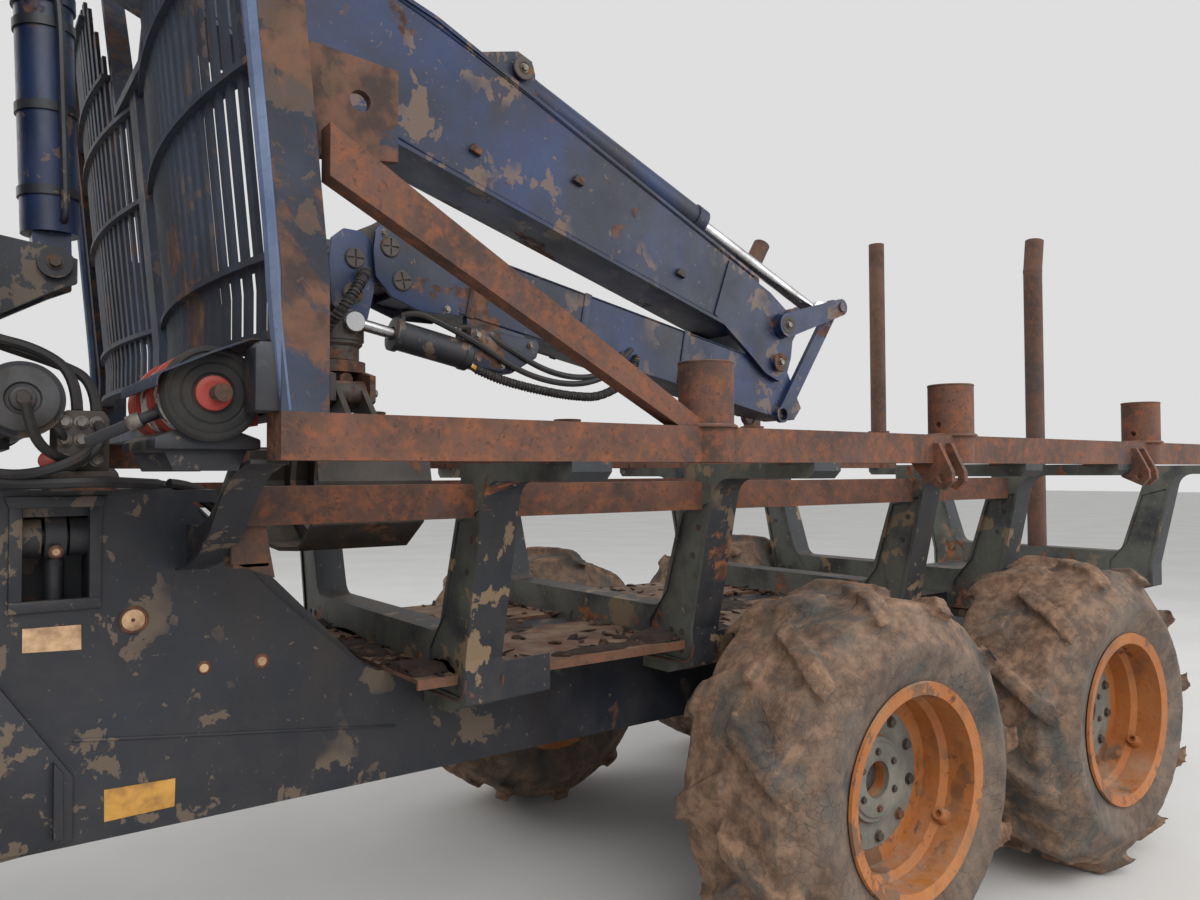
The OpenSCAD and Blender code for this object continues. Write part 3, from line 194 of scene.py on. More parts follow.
class Surface:
    # a material with short ways to add its nodes
    def __init__(self, name):
        self.material = bpy.data.materials.new(name)
        self.material.use_nodes = True
        self.tree = self.material.node_tree
        self.shader = self.tree.nodes["Principled BSDF"]
        self.coordinates = self.tree.nodes.new("ShaderNodeTexCoord")

    def join(self, source, target):
        self.tree.links.new(source, target)

    def noise(self, scale, detail=4.0, rough=0.55, stretch=(1, 1, 1), distort=0.0, shift=(0, 0, 0)):
        mapping = self.tree.nodes.new("ShaderNodeMapping")
        mapping.inputs["Scale"].default_value = stretch
        mapping.inputs["Location"].default_value = shift
        node = self.tree.nodes.new("ShaderNodeTexNoise")
        node.inputs["Scale"].default_value = scale
        node.inputs["Detail"].default_value = detail
        node.inputs["Roughness"].default_value = rough
        node.inputs["Distortion"].default_value = distort
        self.join(self.coordinates.outputs["Object"], mapping.inputs["Vector"])
        self.join(mapping.outputs["Vector"], node.inputs["Vector"])
        return node.outputs["Fac"]

    def cracks(self, scale, stretch=(1, 1, 1)):
        mapping = self.tree.nodes.new("ShaderNodeMapping")
        mapping.inputs["Scale"].default_value = stretch
        node = self.tree.nodes.new("ShaderNodeTexVoronoi")
        node.feature = "DISTANCE_TO_EDGE"
        node.inputs["Scale"].default_value = scale
        self.join(self.coordinates.outputs["Object"], mapping.inputs["Vector"])
        self.join(mapping.outputs["Vector"], node.inputs["Vector"])
        return node.outputs["Distance"]

    def ramp(self, source, low, high, smooth=True):
        node = self.tree.nodes.new("ShaderNodeMapRange")
        node.interpolation_type = "SMOOTHSTEP" if smooth else "LINEAR"
        node.inputs["From Min"].default_value = low
        node.inputs["From Max"].default_value = high
        self.join(source, node.inputs["Value"])
        return node.outputs["Result"]

    def math(self, kind, first, second):
        node = self.tree.nodes.new("ShaderNodeMath")
        node.operation = kind
        for socket, value in zip(node.inputs, (first, second)):
            if isinstance(value, (int, float)):
                socket.default_value = value
            else:
                self.join(value, socket)
        return node.outputs[0]

    def mix(self, amount, first, second):
        node = self.tree.nodes.new("ShaderNodeMix")
        node.data_type = "RGBA"
        if isinstance(amount, (int, float)):
            node.inputs["Factor"].default_value = amount
        else:
            self.join(amount, node.inputs["Factor"])
        for socket, value in ((node.inputs[6], first), (node.inputs[7], second)):
            if isinstance(value, tuple):
                socket.default_value = value
            else:
                self.join(value, socket)
        return node.outputs[2]

    def blendValue(self, amount, first, second):
        # first where amount is 0, second where it is 1
        return self.math("ADD", self.math("MULTIPLY", amount, second - first), first)

    def facing(self, axis, low=0.35, high=0.95):
        # 1 where the surface faces along an axis
        geometry = self.tree.nodes.new("ShaderNodeNewGeometry")
        split = self.tree.nodes.new("ShaderNodeSeparateXYZ")
        self.join(geometry.outputs["Normal"], split.inputs["Vector"])
        return self.ramp(split.outputs[axis], low, high)

    def place(self, axis):
        # how far out, along or up a spot is, the same on both sides
        split = self.tree.nodes.new("ShaderNodeSeparateXYZ")
        self.join(self.coordinates.outputs["Object"], split.inputs["Vector"])
        return self.math("ABSOLUTE", split.outputs[axis], 0.0)

    def bump(self, source, strength, distance):
        node = self.tree.nodes.new("ShaderNodeBump")
        node.inputs["Strength"].default_value = strength
        node.inputs["Distance"].default_value = distance
        self.join(source, node.inputs["Height"])
        if self.shader.inputs["Normal"].is_linked:
            self.join(self.shader.inputs["Normal"].links[0].from_socket, node.inputs["Normal"])
        self.join(node.outputs["Normal"], self.shader.inputs["Normal"])


def wornPaint(name, look):
    # paint with faded patches (painted sheen on the crane blue), grime that runs down, rust that breaks through, and
    # dust that lies on top
    surface = Surface(name)
    patches = surface.ramp(surface.noise(look["patchScale"], 5), 0.35, 0.68)
    # the second tone in patches: faded paint, and on the crane blue a painted sheen
    base = surface.mix(patches, look["paint"], look["fadedAndSheen"])
    if "plusXFaceTone" in look:   # paler patches on the faces that point towards +X
        plusXPatches = surface.math("MULTIPLY", surface.facing("X", 0.4, 0.8), surface.ramp(surface.noise(5, 6), 0.25, 0.6))
        base = surface.mix(surface.math("MULTIPLY", plusXPatches, 0.85), base, look["plusXFaceTone"])
    speckle = surface.ramp(surface.noise(look["patchScale"] * 14, 3, 0.7), 0.5, 0.75)
    base = surface.mix(surface.math("MULTIPLY", speckle, 0.35), base, look["grime"])
    runs = surface.ramp(surface.noise(look["patchScale"] * 2.2, 6, 0.6, (1, 1, 0.16)), 0.5, 0.8)
    base = surface.mix(surface.math("MULTIPLY", runs, look["grimeAmount"]), base, look["grime"])
    rustField = surface.math("ADD", surface.noise(look["rustScale"], 8, 0.66, distort=0.4),
                             surface.math("MULTIPLY", surface.noise(look["rustScale"] * 9, 4, 0.6), 0.12))
    for axis, start, end, extra in look.get("rustPlaces", []):   # where rust gathers
        rustField = surface.math("ADD", rustField, surface.math("MULTIPLY", surface.ramp(surface.place(axis), start, end), extra))
    rust = surface.ramp(rustField, 0.72 - look["rustAmount"] * 0.25, 0.78 - look["rustAmount"] * 0.25)
    rustTone = surface.mix(surface.ramp(surface.noise(look["rustScale"] * 5, 6), 0.35, 0.65),
                           look["rustDark"], look["rustLight"])
    base = surface.mix(rust, base, rustTone)
    if "chip" in look:   # scrapes with sharp edges down to the primer and the old dirt
        scrape = surface.math("MULTIPLY", surface.ramp(surface.noise(8, 7, 0.6, (1, 1, 0.8), 0.25), 0.57, 0.585),
                              surface.ramp(surface.noise(1.7, 4, shift=(2, 5, 3)), 0.46, 0.54))
        nick = surface.ramp(surface.noise(38, 5, 0.6, distort=0.5), 0.665, 0.68)
        base = surface.mix(surface.math("MULTIPLY", surface.math("MAXIMUM", scrape, nick), look["chipAmount"]), base, look["chip"])
    dustField = surface.ramp(surface.noise(look["patchScale"] * 3, 6, 0.65), 0.3, 0.75)
    dust = surface.math("MULTIPLY", surface.math("MULTIPLY", surface.facing("Z"), dustField), look["dustAmount"])
    thin = surface.math("MULTIPLY", dustField, look["dustAmount"] * 0.22)
    base = surface.mix(surface.math("MAXIMUM", dust, thin), base, look["dust"])
    surface.join(base, surface.shader.inputs["Base Color"])
    shine = surface.blendValue(rust, look["rough"], 0.9)
    shine = surface.math("ADD", shine, surface.math("MULTIPLY", dustField, 0.18))
    surface.join(surface.math("MINIMUM", shine, 0.97), surface.shader.inputs["Roughness"])
    surface.bump(surface.noise(look["grainScale"], 6, 0.7), look["grain"], 0.002)
    surface.bump(rustField, look["grain"] * 0.8, 0.003)
    return surface.material


paintLooks = {
    "navyPaint": dict(paint=colour(19, 24, 34), fadedAndSheen=colour(34, 40, 50), grime=colour(48, 38, 32),
                      rustLight=colour(124, 80, 54), rustDark=colour(64, 44, 36), dust=colour(112, 98, 84),
                      chip=colour(104, 88, 72), chipAmount=0.8,
                      patchScale=1.6, rustScale=2.6, rustAmount=0.2, grimeAmount=0.7, dustAmount=0.5,
                      rough=0.44, grain=0.35, grainScale=90),
    # its second tone is a painted sheen: brighter blue patches that stand for the sky's reflection on the boom
    "craneBlue": dict(paint=colour(12, 24, 46), fadedAndSheen=colour(22, 46, 88), grime=colour(36, 28, 26),
                      rustLight=colour(108, 74, 54), rustDark=colour(54, 40, 35), dust=colour(104, 92, 82),
                      chip=colour(112, 88, 68), chipAmount=0.7,
                      patchScale=2.2, rustScale=3.8, rustAmount=0.26, grimeAmount=0.75, dustAmount=0.35,
                      rough=0.4, grain=0.3, grainScale=110),
    "armPaint": dict(paint=colour(22, 28, 38), fadedAndSheen=colour(36, 44, 50), grime=colour(56, 48, 40),
                     # paler patches on its faces that point towards +X
                     plusXFaceTone=colour(98, 100, 92), rustLight=colour(158, 96, 58), rustDark=colour(86, 54, 40),
                     dust=colour(112, 98, 84), chip=colour(140, 116, 88), chipAmount=0.8,
                     rustPlaces=[("Z", 1.3, 1.06, 0.07)],
                     patchScale=3.0, rustScale=4.2, rustAmount=0.2, grimeAmount=0.7, dustAmount=0.6,
                     rough=0.55, grain=0.45, grainScale=110),
    "gateSteel": dict(paint=colour(22, 29, 44), fadedAndSheen=colour(44, 54, 74), grime=colour(48, 38, 34),
                      chip=colour(96, 74, 58), chipAmount=0.5,
                      rustLight=colour(104, 72, 56), rustDark=colour(60, 46, 42), dust=colour(138, 128, 116),
                      rustPlaces=[("Y", 1.13, 1.17, 0.12)],
                      patchScale=2.6, rustScale=3.0, rustAmount=0.3, grimeAmount=0.7, dustAmount=0.35,
                      rough=0.72, grain=0.4, grainScale=120),
    "gateBlue": dict(paint=colour(66, 84, 118), fadedAndSheen=colour(92, 108, 138), grime=colour(52, 50, 54),
                     rustLight=colour(126, 84, 58), rustDark=colour(70, 50, 42), dust=colour(150, 144, 136),
                     patchScale=5, rustScale=5, rustAmount=0.12, grimeAmount=0.5, dustAmount=0.3,
                     rough=0.5, grain=0.35, grainScale=120),
    "hoodOrange": dict(paint=colour(170, 94, 32), fadedAndSheen=colour(184, 112, 56), grime=colour(84, 60, 44),
                       rustLight=colour(122, 70, 42), rustDark=colour(72, 46, 34), dust=colour(166, 148, 126),
                       chip=colour(78, 66, 56), chipAmount=0.8,
                       patchScale=1.4, rustScale=3.2, rustAmount=0.1, grimeAmount=0.6, dustAmount=0.55,
                       rough=0.42, grain=0.2, grainScale=80),
    "rimOrange": dict(paint=colour(158, 88, 28), fadedAndSheen=colour(174, 108, 50), grime=colour(74, 54, 40),
                      chip=colour(88, 62, 46), chipAmount=0.8,
                      rustLight=colour(128, 70, 42), rustDark=colour(70, 46, 36), dust=colour(166, 146, 126),
                      patchScale=3.4, rustScale=4.0, rustAmount=0.22, grimeAmount=0.7, dustAmount=0.8,
                      rough=0.6, grain=0.45, grainScale=120),
    "cabDark": dict(paint=colour(44, 46, 52), fadedAndSheen=colour(64, 66, 72), grime=colour(46, 40, 36),
                    rustLight=colour(110, 70, 48), rustDark=colour(62, 44, 36), dust=colour(142, 134, 124),
                    patchScale=1.5, rustScale=3.4, rustAmount=0.02, grimeAmount=0.35, dustAmount=0.5,
                    rough=0.5, grain=0.25, grainScale=90),
    "extinguisherRed": dict(paint=colour(150, 36, 24), fadedAndSheen=colour(176, 58, 36), grime=colour(70, 40, 32),
                            rustLight=colour(120, 60, 40), rustDark=colour(66, 40, 34), dust=colour(150, 132, 116),
                            patchScale=6, rustScale=9, rustAmount=0.06, grimeAmount=0.5, dustAmount=0.5,
                            rough=0.4, grain=0.2, grainScale=160),
    "hubGrey": dict(paint=colour(96, 96, 90), fadedAndSheen=colour(126, 124, 114), grime=colour(60, 52, 44),
                    rustLight=colour(124, 84, 58), rustDark=colour(70, 50, 40), dust=colour(146, 132, 112),
                    patchScale=6, rustScale=7, rustAmount=0.2, grimeAmount=0.6, dustAmount=0.6,
                    rough=0.7, grain=0.5, grainScale=130),
    "wornSteel": dict(paint=colour(46, 42, 40), fadedAndSheen=colour(74, 66, 60), grime=colour(34, 28, 26),
                      rustLight=colour(112, 74, 52), rustDark=colour(60, 42, 34), dust=colour(122, 108, 94),
                      patchScale=5, rustScale=5.5, rustAmount=0.5, grimeAmount=0.5, dustAmount=0.4,
                      rough=0.55, grain=0.5, grainScale=130),
}


def rustySteel(name, look):
    # bare rusty steel: layers of brown and orange with darker pits
    surface = Surface(name)
    wide = surface.ramp(surface.noise(look["scale"], 7, 0.62, distort=0.5), 0.3, 0.7)
    base = surface.mix(wide, look["dark"], look["light"])
    fine = surface.ramp(surface.noise(look["scale"] * 7, 6, 0.7), 0.42, 0.7)
    base = surface.mix(surface.math("MULTIPLY", fine, 0.65), base, look["orange"])
    pits = surface.ramp(surface.noise(look["scale"] * 22, 4, 0.7), 0.56, 0.66)
    base = surface.mix(surface.math("MULTIPLY", pits, 0.6), base, look["pit"])
    old = surface.ramp(surface.noise(look["scale"] * 0.8, 5, 0.6, shift=(3, 7, 1)), 0.55, 0.68)
    base = surface.mix(surface.math("MULTIPLY", old, look["oldPaint"]), base, look["paint"])
    dust = surface.math("MULTIPLY", surface.facing("Z"), surface.ramp(surface.noise(12, 5), 0.35, 0.7))
    base = surface.mix(surface.math("MULTIPLY", dust, look["dustAmount"]), base, look["dust"])
    surface.join(base, surface.shader.inputs["Base Color"])
    surface.join(surface.blendValue(fine, 0.72, 0.95), surface.shader.inputs["Roughness"])
    surface.bump(surface.noise(look["scale"] * 30, 6, 0.75), 0.5, 0.002)
    surface.bump(wide, 0.3, 0.004)
    return surface.material


rustLooks = {
    "railRust": dict(scale=3.2, dark=colour(58, 41, 34), light=colour(103, 67, 51), orange=colour(144, 87, 56),
                     pit=colour(48, 32, 28), paint=colour(60, 60, 72), oldPaint=0.25, dust=colour(150, 128, 108),
                     dustAmount=0.5),
    "stakeRust": dict(scale=4.0, dark=colour(60, 44, 38), light=colour(96, 68, 54), orange=colour(124, 82, 58),
                      pit=colour(44, 30, 26), paint=colour(56, 58, 66), oldPaint=0.3, dust=colour(140, 122, 104),
                      dustAmount=0.4),
    "deckRust": dict(scale=2.6, dark=colour(70, 48, 38), light=colour(112, 78, 58), orange=colour(134, 86, 58),
                     pit=colour(46, 34, 28), paint=colour(64, 62, 66), oldPaint=0.15, dust=colour(134, 112, 90),
                     dustAmount=0.9),
}


def tyreSurface(name):
    # old cracked rubber, grey on the sidewall and brown with dry mud on the tread
    look = dict(rubber=colour(62, 60, 58), pale=colour(98, 94, 88), mud=colour(160, 126, 100),
                mudDark=colour(104, 78, 60), crack=colour(34, 32, 31))
    surface = Surface(name)
    wide = surface.ramp(surface.noise(5, 7, 0.6), 0.32, 0.7)
    base = surface.mix(wide, look["rubber"], look["pale"])
    lines = surface.cracks(26, (1, 1, 1))
    crackMask = surface.math("SUBTRACT", 1.0, surface.ramp(lines, 0.0, 0.05))
    crackMask = surface.math("MULTIPLY", crackMask, surface.ramp(surface.noise(7, 4), 0.45, 0.6))
    base = surface.mix(surface.math("MULTIPLY", crackMask, 0.7), base, look["crack"])
    mudTone = surface.mix(surface.ramp(surface.noise(16, 6, 0.7), 0.35, 0.65), look["mudDark"], look["mud"])
    mud = surface.ramp(surface.noise(3.6, 8, 0.7, distort=0.6), 0.34, 0.54)
    wall = surface.math("MAXIMUM", surface.facing("Y", 0.7, 0.95), surface.facing("Y", -0.7, -0.95))
    mud = surface.math("MULTIPLY", mud, surface.math("SUBTRACT", 0.84, surface.math("MULTIPLY", wall, 0.5)))
    base = surface.mix(mud, base, mudTone)
    surface.join(base, surface.shader.inputs["Base Color"])
    surface.shader.inputs["Roughness"].default_value = 0.93
    surface.bump(surface.noise(60, 8, 0.75), 0.55, 0.004)
    surface.bump(surface.math("ADD", mud, surface.ramp(lines, 0.0, 0.05)), 0.45, 0.004)
    return surface.material


def plainSurface(name, look):
    # one finish with a fine grain and soft patches of dirt
    surface = Surface(name)
    patches = surface.ramp(surface.noise(look["scale"], 6, 0.6), 0.35, 0.7)
    surface.join(surface.mix(patches, look["tone"], look["dirt"]), surface.shader.inputs["Base Color"])
    surface.join(surface.blendValue(patches, look["rough"], min(look["rough"] + 0.25, 0.95)),
                 surface.shader.inputs["Roughness"])
    surface.shader.inputs["Metallic"].default_value = look.get("metal", 0.0)
    surface.bump(surface.noise(look["grainScale"], 5, 0.65), look["grain"], 0.001)
    return surface.material


plainLooks = {
    "polishedRod": dict(tone=colour(196, 198, 202), dirt=colour(150, 146, 142), scale=7, rough=0.16, metal=1.0,
                        grainScale=240, grain=0.08),
    "hoseRubber": dict(tone=colour(30, 30, 32), dirt=colour(56, 50, 46), scale=9, rough=0.62, grainScale=260,
                       grain=0.4),
    "ironGrey": dict(tone=colour(86, 86, 88), dirt=colour(58, 54, 50), scale=5, rough=0.6, metal=0.4,
                     grainScale=160, grain=0.4),
    "seatCloth": dict(tone=colour(42, 42, 46), dirt=colour(58, 56, 56), scale=8, rough=0.85, grainScale=420,
                      grain=0.6),
    "boltZinc": dict(tone=colour(132, 128, 122), dirt=colour(86, 68, 56), scale=22, rough=0.42, metal=0.8,
                     grainScale=260, grain=0.25),
    "creamPlate": dict(tone=colour(210, 172, 132), dirt=colour(134, 104, 78), scale=16, rough=0.55,
                       grainScale=200, grain=0.2),
    "yellowPlate": dict(tone=colour(200, 148, 66), dirt=colour(138, 100, 56), scale=14, rough=0.6,
                        grainScale=200, grain=0.25),
    "brassFitting": dict(tone=colour(176, 138, 72), dirt=colour(116, 88, 56), scale=20, rough=0.35, metal=0.9,
                         grainScale=200, grain=0.15),
    "barkBrown": dict(tone=colour(92, 68, 50), dirt=colour(58, 42, 34), scale=18, rough=0.95, grainScale=120,
                      grain=0.8),
    "paperWhite": dict(tone=colour(206, 204, 198), dirt=colour(128, 116, 104), scale=24, rough=0.8, grainScale=160,
                       grain=0.4),
    "mirrorFace": dict(tone=colour(186, 190, 194), dirt=colour(160, 160, 158), scale=9, rough=0.08, metal=1.0,
                       grainScale=60, grain=0.05),
    "lampRed": dict(tone=colour(132, 22, 18), dirt=colour(86, 26, 22), scale=20, rough=0.25, grainScale=90,
                    grain=0.2),
    "barkDark": dict(tone=colour(58, 42, 34), dirt=colour(34, 26, 22), scale=26, rough=0.96, grainScale=140,
                     grain=0.9),
    "lampGlass": dict(tone=colour(214, 216, 214), dirt=colour(180, 178, 170), scale=14, rough=0.12,
                      grainScale=60, grain=0.1),
    "blackRubber": dict(tone=colour(34, 33, 33), dirt=colour(60, 55, 50), scale=8, rough=0.8, grainScale=180,
                        grain=0.4),
}

materials = {name: wornPaint(name, look) for name, look in paintLooks.items()}
materials.update({name: rustySteel(name, look) for name, look in rustLooks.items()})
materials.update({name: plainSurface(name, look) for name, look in plainLooks.items()})
materials["tyreMuddy"] = tyreSurface("tyreMuddy")


def glassSurface(name):
    surface = Surface(name)
    film = surface.ramp(surface.noise(6, 6, 0.6), 0.35, 0.75)
    surface.join(surface.blendValue(film, 0.05, 0.4), surface.shader.inputs["Roughness"])
    surface.join(surface.mix(film, colour(70, 80, 84), colour(120, 122, 118)), surface.shader.inputs["Base Color"])
    surface.shader.inputs["Alpha"].default_value = 0.38
    return surface.material


materials["cabGlass"] = glassSurface("cabGlass")
print("materials made")

# which finish each CAD node takes
nodeFinish = {
    "armPaint": ["bunks"],
    "navyPaint": ["rear_frame", "rear_bogies", "slew_base", "pillar", "centre_joint", "front_frame",
                  "front_axle", "steer_barrel_left", "steer_barrel_right"],
    "craneBlue": ["boom", "lift_barrel", "jib_barrel", "jib_lever", "jib_strut", "jib"],
    "gateSteel": ["load_gate"],
    "railRust": ["side_rails", "inner_rails"],
    "stakeRust": ["stakes"],
    "deckRust": ["deck_plates"],
    "wornSteel": ["extension", "hanger", "grapple_head", "jaw_left", "jaw_right"],
    "extinguisherRed": ["fire_extinguisher"],
    "hoseRubber": ["hose_bundle"],
    "polishedRod": ["lift_rod", "jib_rod", "steer_rod_left", "steer_rod_right"],
    "ironGrey": ["engine_block"],
    "hoodOrange": ["hood", "cab_door"],
    "cabDark": ["cab_shell"],
    "seatCloth": ["cab_interior"],
}
wheelNames = ["rear_front_left", "rear_front_right", "rear_back_left", "rear_back_right", "front_left", "front_right"]
for finish, nodes in nodeFinish.items():
    for node in nodes:
        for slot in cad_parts[node].material_slots:
            slot.material = materials[finish]
for wheelName in wheelNames:
    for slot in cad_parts["tyre_" + wheelName].material_slots:
        slot.material = materials["tyreMuddy"]
    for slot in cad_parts["rim_" + wheelName].material_slots:
        slot.material = materials["rimOrange"]
print("CAD nodes dressed")


# ---- more tools: places are in millimetres, ahead of the middle wheels' axle, from the middle, above the ground ----

placeShift = 1675
acrossAxes = {"x": lambda u, v, w: (w, u, v), "y": lambda u, v, w: (u, w, v), "z": lambda u, v, w: (u, v, w)}


def at(x, y, z):
    return Vector(((x - placeShift) / 1000, y / 1000, z / 1000))


def bothSides(places):
    return places + [(x, -y, z) for x, y, z in places]


def closeUp(piece):
    # doubles merged and faces turned outwards
    pick(piece)
    bpy.ops.object.mode_set(mode="EDIT")
    bpy.ops.mesh.select_all(action="SELECT")
    bpy.ops.mesh.remove_doubles(threshold=0.00002)
    bpy.ops.mesh.normals_make_consistent(inside=False)
    bpy.ops.object.mode_set(mode="OBJECT")


def newPiece(name, mesh):
    piece = bpy.data.objects.new(name, mesh)
    bpy.context.collection.objects.link(piece)
    return piece


def addPlate(points, axis, low, high, bevel=0.0):
    # a plate from its outline and the places of its two faces along an axis
    lift = acrossAxes[axis]
    mesh = bpy.data.meshes.new("plate")
    mesh.from_pydata([at(*lift(u, v, low)) for u, v in points], [], [list(range(len(points)))])
    piece = newPiece("plate", mesh)
    pick(piece)
    bpy.ops.object.mode_set(mode="EDIT")
    bpy.ops.mesh.select_all(action="SELECT")
    bpy.ops.mesh.extrude_region_move(TRANSFORM_OT_translate={"value": Vector(lift(0, 0, high - low)) / 1000})
    bpy.ops.object.mode_set(mode="OBJECT")
    closeUp(piece)
    if bevel:
        addBevel(piece, bevel)
    return piece


def addTurned(profile, place, direction, sides=32, angle=35):
    # a turned piece: how far along its axis and how far from it, in millimetres
    mesh = bpy.data.meshes.new("turned")
    mesh.from_pydata([(radius / 1000, 0, along / 1000) for along, radius in profile],
                     [(i, i + 1) for i in range(len(profile) - 1)], [])
    piece = newPiece("turned", mesh)
    screw = piece.modifiers.new("turn", "SCREW")
    screw.steps = sides
    screw.render_steps = sides
    applyModifiers(piece)
    closeUp(piece)
    piece.location = at(*place)
    piece.rotation_euler = turnTo(direction)
    bakePlace(piece)
    smoothByAngle(piece, angle)
    return piece


def addSheet(points, axis, low, high, thickness):
    # a bent sheet: a line of points, drawn across between two places
    lift = acrossAxes[axis]
    mesh = bpy.data.meshes.new("sheet")
    rows = [at(*lift(u, v, low)) for u, v in points] + [at(*lift(u, v, high)) for u, v in points]
    count = len(points)
    mesh.from_pydata(rows, [], [(i, i + 1, i + 1 + count, i + count) for i in range(count - 1)])
    piece = newPiece("sheet", mesh)
    solid = piece.modifiers.new("wall", "SOLIDIFY")
    solid.thickness = thickness / 1000
    solid.offset = 0
    applyModifiers(piece)
    closeUp(piece)
    return piece


def mirrored(piece):
    copy = piece.copy()
    copy.data = piece.data.copy()
    bpy.context.collection.objects.link(copy)
    copy.scale = (1, -1, 1)
    bakePlace(copy)
    closeUp(copy)
    return copy


def withMirror(pieces):
    return pieces + [mirrored(piece) for piece in pieces]


def cutAway(piece, tool):
    pick(piece)
    cut = piece.modifiers.new("cut", "BOOLEAN")
    cut.operation = "DIFFERENCE"
    cut.object = tool
    applyModifiers(piece)
    bpy.data.objects.remove(tool)
    return piece


def copiesOf(model, name, spots):
    # spots: place, direction, size against the model, turn about its axis
    copies = []
    for place, direction, size, turn in spots:
        copy = model.copy()
        copy.data = model.data.copy()
        bpy.context.collection.objects.link(copy)
        copy.location = at(*place)
        spin = Vector(direction).to_track_quat("Z", "Y") @ Quaternion((0, 0, 1), turn)
        copy.rotation_euler = spin.to_euler()
        copy.scale = (size, size, size)
        copies.append(copy)
    piece = joinPieces(copies, name)
    bakePlace(piece)
    return piece


def addHose(points, radius, sides=2):
    return addRoute("hose", [at(*point) for point in points], radius / 1000, sides)


def smoothPath(points, steps):
    # places along a smooth line through the points, and the way it runs there
    spots = []
    ends = [points[0] * 2 - points[1]] + points + [points[-1] * 2 - points[-2]]
    for i in range(len(points) - 1):
        a, b, c, d = ends[i:i + 4]
        for step in range(steps):
            t = step / steps
            spots.append(0.5 * (2 * b + (c - a) * t + (2 * a - 5 * b + 4 * c - d) * t ** 2
                                + (3 * b - a - 3 * c + d) * t ** 3))
    return spots + [points[-1]]


def addWrappedHose(points, radius, wire, pitch):
    # a hose with a coiled guard round it
    path = smoothPath([at(*point) for point in points], 12)
    core = addRoute("wrappedHose", path, radius / 1000, 2)
    coil, turned, side = [], 0.0, Vector((0, 0, 1))
    for here, there in zip(path, path[1:]):
        along = (there - here).normalized()
        side = (side - along * side.dot(along)).normalized()
        other = along.cross(side)
        length = (there - here).length * 1000
        parts = max(2, round(length / pitch * 9))
        for part in range(parts):
            angle = turned + math.tau * length / pitch * part / parts
            coil.append(here + (there - here) * part / parts
                        + (side * math.cos(angle) + other * math.sin(angle)) * radius / 1000)
        turned += math.tau * length / pitch
    curve = bpy.data.curves.new("coil", "CURVE")
    curve.dimensions = "3D"
    curve.bevel_depth = wire / 1000
    curve.bevel_resolution = 0
    curve.use_fill_caps = True
    spline = curve.splines.new("POLY")
    spline.points.add(len(coil) - 1)
    for spot, point in zip(spline.points, coil):
        spot.co = (*point, 1)
    guard = newPiece("coil", curve)
    pick(guard)
    bpy.ops.object.convert(target="MESH")
    return [core, guard]


def finishGroup(name, pieces, material, body, angle=35):
    piece = joinPieces(pieces, name)
    smoothByAngle(piece, angle)
    return finishPiece(piece, materials[material], body)


hexModel = joinPieces(addHexHead((0, 0, 0), (0, 0, 1), 0.01, 0.008), "hexModel")   # a head 10 mm from its middle to a corner


def addBolts(name, spots, size, body, material="boltZinc"):
    # spots: place and direction
    turns = [i * 0.7 for i in range(len(spots))]
    piece = copiesOf(hexModel, name, [(place, way, size / 10, turn) for (place, way), turn in zip(spots, turns)])
    return finishPiece(piece, materials[material], body)


def ringSpots(place, axis, radius, count, start=0.0):
    # places round an axis that runs along y or z
    lift = acrossAxes[axis]
    spots = []
    for i in range(count):
        angle = start + math.tau * i / count
        du, dv, dw = lift(radius * math.cos(angle), radius * math.sin(angle), 0)
        spots.append((place[0] + du, place[1] + dv, place[2] + dw))
    return spots


# ---- tyres: worn lugs with rounded edges, caked with mud ----

tyreWear = dict(voxel=0.0135, rounds=3, lumpSize=0.11, lump=0.016, grainSize=0.03, grain=0.006, treadShare=0.86)


def wornTyre(wheelName):
    node = "tyre_" + wheelName
    piece = newPiece("worn_" + node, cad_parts[node].data.copy())
    closeUp(piece)
    remesh = piece.modifiers.new("even", "REMESH")
    remesh.mode = "VOXEL"
    remesh.voxel_size = tyreWear["voxel"]
    soften = piece.modifiers.new("wear", "SMOOTH")
    soften.factor = 0.6
    soften.iterations = tyreWear["rounds"]
    applyModifiers(piece)
    low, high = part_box(node)
    middle, radius = (low + high) / 2, (high.z - low.z) / 2
    tread = piece.vertex_groups.new(name="tread")
    walls = piece.vertex_groups.new(name="walls")
    for vertex in piece.data.vertices:
        reach = math.hypot(vertex.co.x - middle.x, vertex.co.z - middle.z) / radius
        weight = min(1.0, max(0.0, (reach - tyreWear["treadShare"] + 0.06) / 0.12))
        inner = min(1.0, max(0.0, (reach - 0.56) / 0.08))
        tread.add([vertex.index], weight, "REPLACE")
        walls.add([vertex.index], inner, "REPLACE")
    for group, size, strength in (("tread", tyreWear["lumpSize"], tyreWear["lump"]),
                                  ("walls", tyreWear["grainSize"], tyreWear["grain"])):
        clouds = bpy.data.textures.new("lumps", "CLOUDS")
        clouds.noise_scale = size
        clouds.noise_depth = 3
        lumps = piece.modifiers.new("lumps", "DISPLACE")
        lumps.texture = clouds
        lumps.texture_coords = "OBJECT"
        lumps.vertex_group = group
        lumps.strength = strength
        lumps.mid_level = 0.62
    applyModifiers(piece)
    piece.vertex_groups.clear()
    pick(piece)
    bpy.ops.object.shade_smooth()
    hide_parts(node)
    return finishPiece(piece, materials["tyreMuddy"], "wheel_" + wheelName)


for wheelName in wheelNames:
    wornTyre(wheelName)
print("tyres made")

# ---- wheels: grey hub plate with its nuts, valve guard on the barrel ----

